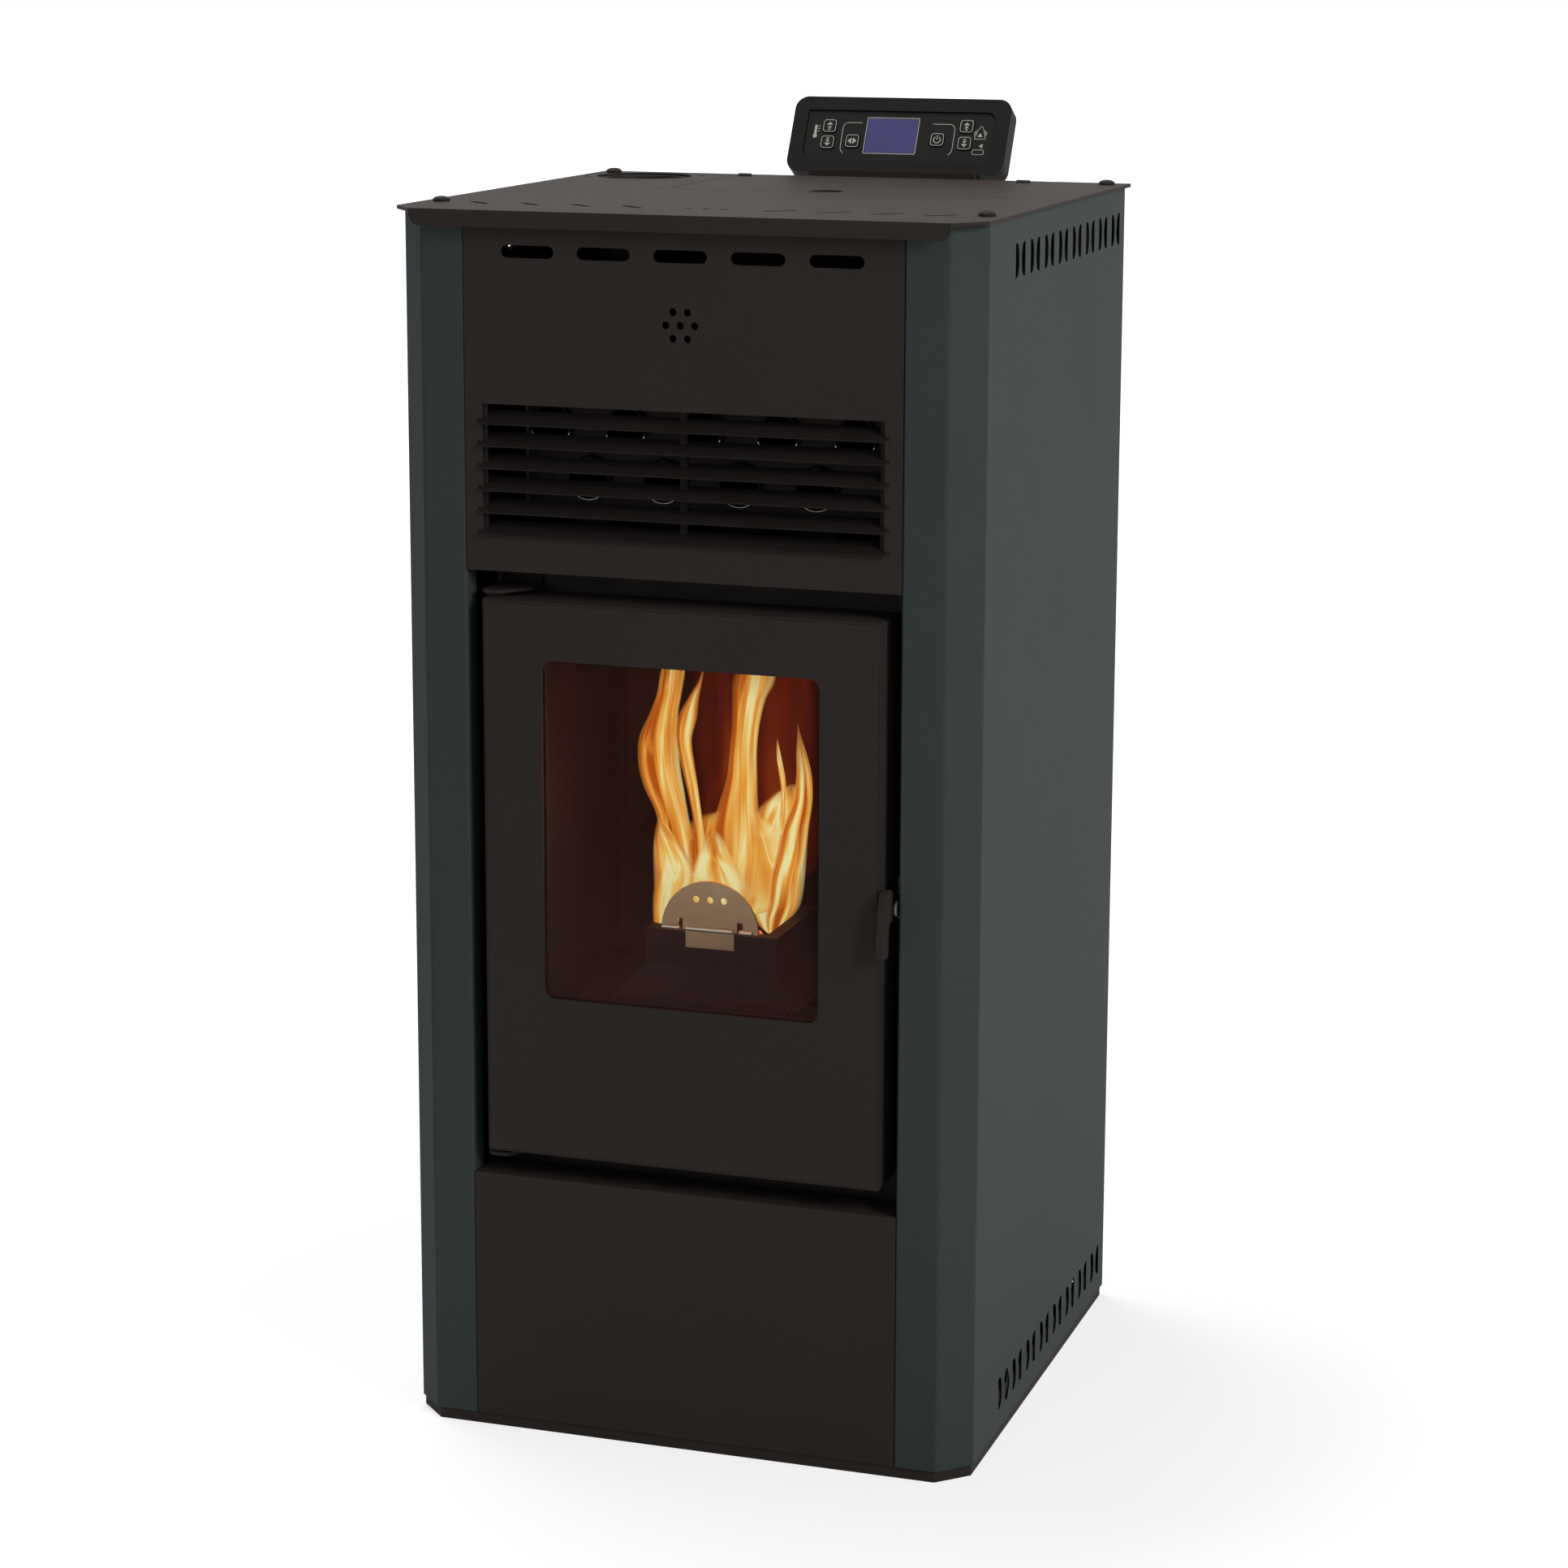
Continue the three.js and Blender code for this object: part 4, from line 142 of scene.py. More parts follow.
# the node tree of one material or of the world
class Graph:
    def __init__(self, tree):
        self.tree = tree
        tree.nodes.clear()

    def add(self, kind, settings=None, values=None, output=0):
        node = self.tree.nodes.new(kind)
        for key, value in (settings or {}).items():
            if key == "stops":
                ramp = node.color_ramp
                while len(ramp.elements) < len(value):
                    ramp.elements.new(1.0)
                for element, (position, colour) in zip(ramp.elements, value):
                    element.position = position
                    element.color = colour
            else:
                setattr(node, key, value)
        for key, value in (values or {}).items():
            if isinstance(value, Wire):
                self.tree.links.new(value.socket, node.inputs[key])
            else:
                node.inputs[key].default_value = value
        return Wire(self, node.outputs[output]) if len(node.outputs) else None

    def spot(self, stretch=None, turn=None):
        place = self.add("ShaderNodeTexCoord", output="Object")
        if stretch is None and turn is None:
            return place
        values = {"Vector": place, "Scale": stretch or (1, 1, 1)}
        if turn:
            values["Rotation"] = [math.radians(angle) for angle in turn]
        return self.add("ShaderNodeMapping", None, values)

    def noise(self, scale, detail=2.0, rough=0.5, stretch=None, turn=None):
        values = {"Vector": self.spot(stretch, turn), "Scale": scale, "Detail": detail, "Roughness": rough}
        return self.add("ShaderNodeTexNoise", None, values)

    def attribute(self, name):
        return self.add("ShaderNodeAttribute", {"attribute_name": name}, output="Fac")

    def blend(self, share, first, second):
        return self.add("ShaderNodeMix", {"data_type": "RGBA"}, {0: share, 6: first, 7: second}, output=2)

    def ramp(self, share, *stops):
        return self.add("ShaderNodeValToRGB", {"stops": stops}, {"Fac": share})

    def bump(self, height, depth, strength=1.0):
        values = {"Height": height, "Strength": strength, "Distance": depth * mm}
        return self.add("ShaderNodeBump", None, values)

    def surface(self, values):
        shader = self.add("ShaderNodeBsdfPrincipled", None, values)
        self.add("ShaderNodeOutputMaterial", None, {"Surface": shader})


def colour(code, alpha=1.0):
    shares = [int(code[i:i + 2], 16) / 255 for i in (0, 2, 4)]
    return (*[s / 12.92 if s < 0.04045 else ((s + 0.055) / 1.055) ** 2.4 for s in shares], alpha)


def newFinish(name):
    material = bpy.data.materials.new(name)
    material.use_nodes = True
    return material, Graph(material.node_tree)


white = (1, 1, 1, 1)
studio = {
    "worldLight": 0.15,
    "floorGlow": 0.55,
    "floorShine": 1.3,
    "floorColour": "f4f4f4",
    "floorReach": 60.0,
    "paleFrom": 0.5,
    "paleOver": 1.0,
    "lamps": [
        # name, place in metres, side in metres, watts
        ("keyLamp", (3.3, -1.9, 2.3), 1.6, 88),
        ("roofLamp", (-0.9, 0.5, 3.9), 1.8, 92),
        ("frontLamp", (-1.6, -3.6, 1.2), 1.8, 7),
    ],
    "aim": (0, 0, 0.55),
    # the fire's own light on the lining: place in metres, radius, watts, colour
    "fireLamp": ((0.0, -0.15, 0.53), 0.05, 0.9, (1.0, 0.2, 0.06)),
}


# rays by which the floor and the backdrop are seen, as against lit
def viewRays(graph):
    camera, glossy, through = [graph.add("ShaderNodeLightPath", output=name)
                               for name in ("Is Camera Ray", "Is Glossy Ray", "Is Transmission Ray")]
    return camera.most(glossy).most(through)


def makeBackdrop():
    scene.view_settings.view_transform = "Standard"
    world = bpy.data.worlds.new("studioWorld")
    scene.world = world
    world.use_nodes = True
    graph = Graph(world.node_tree)
    light = graph.add("ShaderNodeBackground", None, {"Color": white, "Strength": studio["worldLight"]})
    backdrop = graph.add("ShaderNodeBackground", None, {"Color": white, "Strength": 1.0})
    both = graph.add("ShaderNodeMixShader", None, {0: viewRays(graph), 1: light, 2: backdrop})
    graph.add("ShaderNodeOutputWorld", None, {"Surface": both})


def makeFloor():
    material, graph = newFinish("floorFinish")
    matt = graph.add("ShaderNodeBsdfDiffuse", None, {"Color": colour(studio["floorColour"])})
    glow = graph.add("ShaderNodeEmission", None, {"Color": white, "Strength": studio["floorShine"]})
    away = graph.add("ShaderNodeVectorMath", {"operation": "LENGTH"}, {0: graph.spot()}, output="Value")
    pale = ((away - studio["paleFrom"]) * (1 / studio["paleOver"])).clamped()
    share = studio["floorGlow"] + pale * (1 - studio["floorGlow"])
    both = graph.add("ShaderNodeMixShader", None, {0: viewRays(graph) * share, 1: matt, 2: glow})
    graph.add("ShaderNodeOutputMaterial", None, {"Surface": both})
    mesh = bpy.data.meshes.new("floor")
    mesh.materials.append(material)
    bm = bmesh.new()
    bmesh.ops.create_circle(bm, cap_ends=True, segments=64, radius=studio["floorReach"])
    bm.to_mesh(mesh)
    bm.free()
    floor = bpy.data.objects.new("floor", mesh)
    scene.collection.objects.link(floor)


def hangLamp(name, kind, place, watts):
    data = bpy.data.lights.new(name, kind)
    data.energy = watts
    lamp = bpy.data.objects.new(name, data)
    lamp.location = place
    scene.collection.objects.link(lamp)
    return lamp, data


def makeLamps():
    for name, place, side, watts in studio["lamps"]:
        lamp, data = hangLamp(name, "AREA", place, watts)
        data.shape = "DISK"
        data.size = side
        aim = Vector(studio["aim"]) - Vector(place)
        lamp.rotation_euler = aim.to_track_quat("-Z", "Y").to_euler()
    place, radius, watts, tint = studio["fireLamp"]
    data = hangLamp("fireLamp", "POINT", place, watts)[1]
    data.shadow_soft_size = radius
    data.color = tint
    print("studio lit")


# finishes

def powderCoat(name, tone, shade, sheen=0.05, gloss=0.62):
    material, graph = newFinish(name)
    grain = graph.noise(950, 2.5, 0.6)
    cloud = graph.noise(7, 3, 0.55)
    base = graph.blend((grain * 0.8 + cloud * 0.35 - 0.1).clamped(), colour(shade), colour(tone))
    orange = graph.noise(620, 2, 0.5)
    graph.surface({
        "Base Color": base,
        "Roughness": (gloss - 0.06 + grain * 0.12).clamped(),
        "Specular IOR Level": sheen,
        "Normal": graph.bump(orange + grain * 0.5, 0.12, 0.5),
    })
    return material


def castIron(name, tone, shade, soot=0.5):
    material, graph = newFinish(name)
    grain = graph.noise(420, 4, 0.65)
    stain = graph.noise(14, 4, 0.6)
    base = graph.blend((stain * 1.2 + grain * 0.4 - soot).clamped(), colour(shade), colour(tone))
    graph.surface({
        "Base Color": base,
        "Roughness": (0.62 + grain * 0.25).clamped(),
        "Metallic": 0.25,
        "Specular IOR Level": 0.35,
        "Normal": graph.bump(grain + stain * 0.6, 0.3, 0.6),
    })
    return material


def sheetSteel(name, tone, shade, rough=0.38, stretch=(1, 1, 0.08), spangle=True, metal=0.9):
    material, graph = newFinish(name)
    brushed = graph.noise(900, 2, 0.5, stretch)
    smear = graph.noise(11, 3, 0.55)
    share = brushed * 0.45 + smear * 0.5
    if spangle:
        values = {"Vector": graph.spot(), "Scale": 130.0}
        cells = graph.add("ShaderNodeTexVoronoi", {"feature": "F1"}, values, output="Color")
        share = share + graph.add("ShaderNodeSeparateColor", None, {"Color": cells}) * 0.3 - 0.12
    graph.surface({
        "Base Color": graph.blend(share.clamped(), colour(shade), colour(tone)),
        "Roughness": (rough - 0.08 + smear * 0.22 + brushed * 0.08).clamped(),
        "Metallic": metal,
        "Normal": graph.bump(brushed, 0.02, 0.4),
    })
    return material


def flameSteel():
    material, graph = newFinish("flameSteel")
    brushed = graph.noise(800, 2, 0.5, (0.06, 1, 1))
    tint = graph.noise(26, 3, 0.6)
    straw = graph.blend(tint.clamped(), colour("d0b187"), colour("ab8b69"))
    graph.surface({
        "Base Color": graph.blend((brushed * 0.35).clamped(), straw, colour("d8c4a2")),
        "Roughness": (0.34 + tint * 0.2).clamped(),
        "Metallic": 0.75,
        "Normal": graph.bump(brushed, 0.02, 0.5),
    })
    return material


def ropeSeal():
    material, graph = newFinish("ropeSeal")
    values = {"Vector": graph.spot(turn=(35, 20, 45)), "Scale": 210.0, "Distortion": 1.2, "Detail": 1.0}
    twist = graph.add("ShaderNodeTexWave", {"wave_type": "BANDS", "bands_direction": "DIAGONAL"}, values,
                      output="Fac")
    fuzz = graph.noise(1500, 3, 0.6)
    share = (twist * 0.7 + fuzz * 0.35).clamped()
    graph.surface({
        "Base Color": graph.blend(share, colour("4d4a45"), colour("8a857c")),
        "Roughness": 0.95,
        "Specular IOR Level": 0.2,
        "Normal": graph.bump(twist + fuzz * 0.3, 0.5, 0.8),
    })
    return material


def mouldedPlastic(name, tone, shade, rough=0.5, coat=0.0, grainDepth=0.05):
    material, graph = newFinish(name)
    grain = graph.noise(1500, 2, 0.5)
    cloud = graph.noise(12, 2, 0.5)
    graph.surface({
        "Base Color": graph.blend((grain * 0.5 + cloud * 0.5).clamped(), colour(shade), colour(tone)),
        "Roughness": (rough - 0.05 + grain * 0.1).clamped(),
        "Specular IOR Level": 0.06,
        "Coat Weight": coat,
        "Coat Roughness": 0.25,
        "Normal": graph.bump(grain, grainDepth, 0.5),
    })
    return material


def displayGlass():
    material, graph = newFinish("displayGlass")
    cells = graph.noise(2600, 1, 0.5)
    cloud = graph.noise(30, 2, 0.5)
    violet = graph.blend((cells * 0.5 + cloud * 0.5).clamped(), colour("3a3772"), colour("5b589c"))
    graph.surface({
        "Base Color": graph.blend((cells * 0.4).clamped(), colour("15142a"), colour("24224a")),
        "Roughness": (0.2 + cells * 0.06).clamped(),
        "Specular IOR Level": 0.3,
        "Emission Color": violet,
        "Emission Strength": 0.42,
    })
    return material


def doorPane():
    material, graph = newFinish("doorPane")
    haze = graph.noise(9, 4, 0.6)
    fine = graph.noise(160, 3, 0.6)
    height = graph.add("ShaderNodeSeparateXYZ", None, {"Vector": graph.spot()}, output="Z")
    # soot thickens below half a metre
    foot = ((0.5 - height) * 6.0).clamped()
    graph.surface({
        "Base Color": graph.blend(haze, colour("3a1a17"), colour("4c2b28")),
        "Roughness": (0.04 + fine * 0.04).clamped(),
        "Specular IOR Level": 0.08,
        "Alpha": (0.1 + haze * 0.1 + foot * 0.2).clamped(),
    })
    return material


def ceramicLining():
    material, graph = newFinish("ceramicLining")
    soot = graph.noise(11, 4, 0.6, (1, 1, 0.5))
    grain = graph.noise(300, 3, 0.6)
    base = graph.blend((soot * 1.3 - 0.25 + grain * 0.2).clamped(), colour("1d1410"), colour("46342a"))
    graph.surface({
        "Base Color": base,
        "Roughness": 0.92,
        "Specular IOR Level": 0.05,
        "Normal": graph.bump(soot, 0.4, 0.4),
    })
    return material


def fireGlow(name, strength, *stops):
    material, graph = newFinish(name)
    across = graph.attribute("side")
    side = across.sized()
    rise = graph.attribute("rise")
    depth = graph.add("ShaderNodeSeparateXYZ", None, {"Vector": graph.spot()}, output="Y")

    # noise that follows the tongue as it bends
    def along(wide, tall, detail, shift):
        lean = wide * 0.35
        values = {"X": across * wide + rise * lean, "Y": depth * 90 + shift, "Z": rise * tall}
        place = graph.add("ShaderNodeCombineXYZ", None, values)
        values = {"Vector": place, "Scale": 1.0, "Detail": detail, "Roughness": 0.55, "Distortion": 0.35}
        return graph.add("ShaderNodeTexNoise", None, values)

    streak = along(1.7, 1.3, 1.6, 0.0)
    lick = along(0.9, 2.2, 1.5, 7.3)
    vein = (1 - ((along(1.5, 1.2, 1.0, 3.1) - 0.5).sized() * 30)).clamped()
    rim = ((side - 0.86) * 9).clamped() * (lick * 3 - 1).clamped()
    heat = 0.6 + (streak - 0.5) * 2.4 + (lick - 0.5) * 1.8 + vein * 0.3 + rim * 0.3
    heat = heat - (side ** 3) * 0.2 - (1 - rise * 4).clamped() * 0.12
    tip = ((1 - rise) * 3.5).clamped()
    graph.surface({
        "Base Color": (0, 0, 0, 1),
        "Roughness": 1.0,
        "Specular IOR Level": 0.0,
        "Emission Color": graph.ramp((heat - rise * 0.1).clamped(), *stops),
        "Emission Strength": strength,
        "Alpha": ((1 - side) * 2.6 + (lick - 0.5) * 0.5).clamped() * tip,
    })
    return material


def emberFinish():
    material, graph = newFinish("embers")
    glow = graph.noise(55, 3, 0.6)
    ash = graph.noise(500, 3, 0.6)
    hot = (glow * 2.4 - 0.75).clamped()
    graph.surface({
        "Base Color": graph.blend(ash, colour("3a322c"), colour("8d8279")),
        "Roughness": 0.9,
        "Emission Color": graph.ramp(hot, (0.0, colour("140300")), (0.5, colour("d2400a")),
                                     (1.0, colour("ffb35a"))),
        "Emission Strength": 1.6,
        "Normal": graph.bump(ash, 0.3, 0.7),
    })
    return material


def makeFinishes():
    return {
        "slate": powderCoat("slateCoat", "3d4443", "343a39"),
        "black": powderCoat("blackCoat", "352f2d", "2a2624"),
        "iron": castIron("castIron", "3d3631", "1c1816"),
        "innerIron": castIron("sootyIron", "35302d", "171311", 0.6),
        "steel": sheetSteel("sheetSteel", "b4b6b8", "85888b"),
        # steel painted near black: painted shade inside the flue, hopper, auger tube, feed chute and
        # exchanger hood, and painted shadow in the glass retainer's recess
        "shadeDarkSteel": sheetSteel("shadeDarkSteel", "3c3a38", "262422", 0.5),
        "rawSteel": sheetSteel("rawSteel", "a9a59e", "6d6862", 0.42, (1, 0.08, 1), False),
        # steel painted near black: painted shade on the tube bank behind the grille
        "tubeSteel": sheetSteel("tubeSteel", "191614", "0d0b0a", 0.4, (1, 0.08, 1), False),
        # the grille is the black coat made darker: painted shade on the down-facing blades
        "shadeDarkGrille": powderCoat("grilleCoat", "272321", "1d1a18"),
        "flameSteel": flameSteel(),
        # real rolled hems in a near-white colour: the paleness is a painted highlight
        "brightHem": sheetSteel("brightHem", "fff4e0", "efdcbc", 0.3, (0.08, 1, 1), False, 0.8),
        # bright steel for thin arcs under the tube ends: painted glints
        "bead": sheetSteel("glintArcSteel", "e6e2da", "a8a298", 0.3, (1, 1, 1), False),
        "rope": ropeSeal(),
        "plastic": mouldedPlastic("mouldedPlastic", "201e1c", "171514", 0.55),
        "keypad": mouldedPlastic("keypadFilm", "1c1a18", "141211", 0.42, 0.1, 0.01),
        "print": mouldedPlastic("silverPrint", "b9b7b2", "9b9994", 0.5, 0.0, 0.004),
        "display": displayGlass(),
        "pane": doorPane(),
        "lining": ceramicLining(),
        "motor": mouldedPlastic("motorEnamel", "5f646a", "4c5157", 0.45, 0.15, 0.04),
        "flame": fireGlow("flameBody", 1.05, (0.0, colour("bd560f")), (0.25, colour("e2842a")),
                          (0.5, colour("f6a943")), (0.78, colour("ffd272")), (1.0, colour("fff2ac"))),
        # dim red glow for a sheet behind the flames: painted firelight on the firebox back
        "paintedBackGlow": fireGlow("paintedBackGlow", 0.75, (0.0, colour("3a0c04")), (0.6, colour("6b1d07")),
                             (1.0, colour("8c320e"))),
        "ember": emberFinish(),
    }


# shared mesh work

# angles between faces, in degrees, from which an edge is rounded and kept sharp
softFrom = 38
sharpFrom = 40


def putPiece(name, bm, finish, body, replaced=()):
    mesh = bpy.data.meshes.new(name)
    bm.to_mesh(mesh)
    bm.free()
    mesh.materials.append(finish)
    piece = bpy.data.objects.new(name, mesh)
    scene.collection.objects.link(piece)
    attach(piece, body)
    if replaced:
        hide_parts(*replaced)
    return piece


def camelName(node):
    first, *rest = node.split("_")
    return first + "".join(word.capitalize() for word in rest)


def mergedCopy(node):
    bm = bmesh.new()
    bm.from_mesh(nodes[node].data)
    bmesh.ops.remove_doubles(bm, verts=bm.verts, dist=0.002 * mm)
    bmesh.ops.dissolve_limit(bm, angle_limit=0.008, verts=bm.verts, edges=bm.edges)
    for face in bm.faces:
        face.material_index = 0
        face.smooth = True
    return bm


def evenNormals(piece):
    normals = piece.modifiers.new("faces", "WEIGHTED_NORMAL")
    normals.mode = "FACE_AREA"
    normals.weight = 70
    return normals


def softenEdges(piece, width, segments):
    bevel = piece.modifiers.new("edges", "BEVEL")
    bevel.limit_method = "ANGLE"
    bevel.angle_limit = math.radians(softFrom)
    bevel.width = width * mm
    bevel.segments = segments
    bevel.profile = 0.5
    bevel.use_clamp_overlap = True
    bevel.miter_outer = "MITER_ARC"
    evenNormals(piece)


# which finish and edge each carried-over node gets: finish, edge radius in mm, steps
dressing = {
    "base_frame": ("black", 0.5, 2), "rear_panel": ("black", 0.3, 1),
    "upper_front_panel": ("black", 0.45, 2), "lower_front_panel": ("black", 0.45, 2),
    "air_grille": ("shadeDarkGrille", 0.35, 2), "top_plate": ("black", 0.45, 2),
    "hopper_lid": ("black", 0.45, 2), "door_frame": ("black", 0.7, 2), "door_handle": ("black", 1.0, 3),
    "panel_neck": ("black", 0.5, 2), "hinge_bracket_top": ("black", 0.6, 2),
    "hinge_bracket_bottom": ("black", 0.6, 2), "lid_hinge_left": ("black", 0.4, 2),
    "lid_hinge_right": ("black", 0.4, 2), "flue_pipe": ("shadeDarkSteel", 0.3, 1),
    "hopper": ("shadeDarkSteel", 0.4, 1), "hopper_guard": ("steel", 0.5, 2),
    "auger_tube": ("shadeDarkSteel", 0.3, 1), "feed_chute": ("shadeDarkSteel", 0.3, 1),
    "ash_drawer": ("steel", 0.3, 1), "glass_retainer": ("shadeDarkSteel", 0.3, 1),
    "handle_pivot": ("steel", 0.5, 2), "door_catch": ("steel", 0.5, 2),
    "smoke_fan_housing": ("steel", 0.4, 1), "smoke_fan_wheel": ("steel", 0.2, 1),
    "room_fan_housing": ("steel", 0.3, 1), "room_fan_wheel": ("steel", 0.15, 1),
    "air_intake_pipe": ("steel", 0.3, 1), "exchanger_hood": ("shadeDarkSteel", 0.4, 1),
    "igniter": ("rawSteel", 0.5, 2), "auger_screw": ("rawSteel", 0.3, 1),
    "heat_exchanger": ("tubeSteel", 0.3, 1), "firebox_shell": ("innerIron", 0.8, 2),
    "baffle_plate": ("innerIron", 0.8, 2), "burn_pot_holder": ("iron", 1.2, 3),
    "burn_pot": ("iron", 0.8, 2), "firebox_lining": ("lining", 1.0, 2),
    "flame_plate": ("flameSteel", 0.35, 2), "auger_motor": ("motor", 1.2, 3),
    "lid_seal": ("rope", 2.0, 3), "door_seal": ("rope", 2.0, 3), "door_glass": ("pane", 0.5, 2),
    "control_box": ("plastic", 1.5, 3), "power_inlet": ("plastic", 0.5, 2),
    "power_switch": ("plastic", 0.5, 2), "panel_screen": ("display", 0.25, 2),
}
otherNames = {"hopper": "pelletHopper", "igniter": "igniterRod"}


def dressNodes(finishes):
    for node, (finish, width, segments) in dressing.items():
        name = otherNames.get(node, camelName(node))
        body = nodes[node]["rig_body"]
        piece = putPiece(name, mergedCopy(node), finishes[finish], body, [node])
        softenEdges(piece, width, segments)
    print("nodes dressed:", len(dressing))


# side panels with bowed slots

sideSlots = {
    "count": 16, "firstY": -154.18, "pitch": 22.8, "heights": (976.5, 41.0), "tall": 27.0,
    "wide": 11.3, "bow": 3.4, "tipShift": 1.1, "roundness": 0.5, "tip": 0.02, "steps": 14, "half": 241.75,
    # depth under the face and how far the cut grows there: a rolled rim, then a thin lip
    "stations": [(-1.0, 0.45), (0.3, 0.0), (0.55, 2.2), (2.5, 2.2)],
}


def slotLoop(centreY, centreZ, bow, grow):
    s = sideSlots
    half = s["tall"] / 2
    loop = []
    for hand, order in ((1, range(s["steps"] + 1)), (-1, range(s["steps"], -1, -1))):
        for i in order:
            t = i / s["steps"]
            lift = math.sin(math.pi * t)
            reach = (s["wide"] / 2 + grow) * max(lift, s["tip"]) ** s["roundness"]
            middle = centreY + bow * lift - math.copysign(s["tipShift"], bow)
            loop.append((middle + hand * reach, centreZ + math.cos(math.pi * (1 - t)) * (half + grow)))
    return loop


def slotCutter(bm, hand, centreY, centreZ, bow):
    s = sideSlots
    rings = []
    for depth, grow in s["stations"]:
        x = s["half"] - depth
        points = slotLoop(centreY, centreZ, bow, grow)
        ring = [bm.verts.new((hand * x * mm, y * mm, z * mm)) for y, z in points]
        rings.append([bm.edges.new((ring[i - 1], ring[i])) for i in range(len(ring))])
    for first, second in zip(rings, rings[1:]):
        bmesh.ops.bridge_loops(bm, edges=first + second)
    for ring in (rings[0], rings[-1]):
        bmesh.ops.contextual_create(bm, geom=ring)


def cutAway(bm, cutter):
    body = bpy.data.meshes.new("cutBody")
    bm.to_mesh(body)
    bm.free()
    tool = bpy.data.meshes.new("cutTool")
    bmesh.ops.recalc_face_normals(cutter, faces=cutter.faces)
    cutter.to_mesh(tool)
    cutter.free()
    pair = [bpy.data.objects.new(mesh.name, mesh) for mesh in (body, tool)]
    for item in pair:
        scene.collection.objects.link(item)
    boolean = pair[0].modifiers.new("cut", "BOOLEAN")
    boolean.operation = "DIFFERENCE"
    boolean.solver = "EXACT"
    boolean.object = pair[1]
    bpy.context.view_layer.update()
    cut = bpy.data.meshes.new_from_object(pair[0].evaluated_get(bpy.context.evaluated_depsgraph_get()))
    result = bmesh.new()
    result.from_mesh(cut)
    for item in pair:
        bpy.data.objects.remove(item)
    for mesh in (body, tool, cut):
        bpy.data.meshes.remove(mesh)
    for face in result.faces:
        face.material_index = 0
        face.smooth = True
    return result


# the carried-over panel with its own coarse slots filled
def plainPanel(node):
    s = sideSlots
    bm = mergedCopy(node)
    walls = []
    for face in bm.faces:
        centre = face.calc_center_median() / mm
        beside = -0.5 < (centre.y - s["firstY"]) / s["pitch"] < s["count"] - 0.5
        inRow = any(abs(centre.z - z) < s["tall"] / 2 + 1 for z in s["heights"])
        if beside and inRow and abs(face.normal.x) < 0.5:
            walls.append(face)
    bmesh.ops.delete(bm, geom=walls, context="FACES")
    closeUp(bm)
    return bm


def makeSidePanels(finishes):
    s = sideSlots
    for hand, node in ((-1, "left_side_panel"), (1, "right_side_panel")):
        cutter = bmesh.new()
        for i in range(s["count"]):
            for z in s["heights"]:
                bow = (-1 if i % 2 else 1) * s["bow"]
                slotCutter(cutter, hand, s["firstY"] + i * s["pitch"], z, bow)
        bm = cutAway(plainPanel(node), cutter)
        piece = putPiece(camelName(node), bm, finishes["slate"], "casing", [node])
        piece.data.set_sharp_from_angle(angle=math.radians(sharpFrom))
        evenNormals(piece).keep_sharp = True
    print("side panels cut")


# domed screws of the top plate

topScrews = {
    "places": {"top_screw_front_left": (-227.75, -193.18), "top_screw_front_right": (227.75, -193.18),
               "top_screw_rear_left": (-227.75, 198.82), "top_screw_rear_right": (227.75, 198.82)},
    "seat": 1013.6, "radius": 7.0, "dome": 4.0, "rim": 1.0, "shank": 3.0, "shankLength": 12.0,
    "socket": 2.4, "socketFoot": 0.92, "socketDepth": 1.6, "crown": 0.75, "steps": 28, "domeSteps": 7,
    "edge": (0.25, 2),
}


def makeTopScrews(finishes):
    s = topScrews
    for node, (x, y) in s["places"].items():
        bm = bmesh.new()
        profile = [(0, -s["shankLength"]), (s["shank"], -s["shankLength"]), (s["shank"], 0)]
        profile += [(s["radius"], 0), (s["radius"], s["rim"])]
        domeHigh = s["dome"] - s["rim"]
        flat = s["socket"] / s["radius"]
        for i in range(1, s["domeSteps"] + 1):
            angle = math.radians(90 * i / s["domeSteps"]) * (1 - flat * s["crown"])
            profile.append((s["radius"] * math.cos(angle), s["rim"] + domeHigh * math.sin(angle)))
        brim = profile[-1][1]
        floorAt = brim - s["socketDepth"]
        profile += [(s["socket"], brim), (s["socket"] * s["socketFoot"], floorAt), (0, floorAt)]
        line = [bm.verts.new((r * mm, 0, z * mm)) for r, z in profile]
        edges = [bm.edges.new(pair) for pair in zip(line, line[1:])]
        bmesh.ops.spin(bm, geom=line + edges, cent=(0, 0, 0), axis=(0, 0, 1), angle=2 * math.pi,
                       steps=s["steps"], use_merge=True)
        bmesh.ops.remove_doubles(bm, verts=bm.verts, dist=0.001 * mm)
        bmesh.ops.translate(bm, verts=bm.verts, vec=Vector((x, y, s["seat"])) * mm)
        bmesh.ops.recalc_face_normals(bm, faces=bm.faces)
        for face in bm.faces:
            face.smooth = True
        piece = putPiece(camelName(node), bm, finishes["black"], "casing", [node])
        softenEdges(piece, *s["edge"])
    print("top screws turned")


# control panel

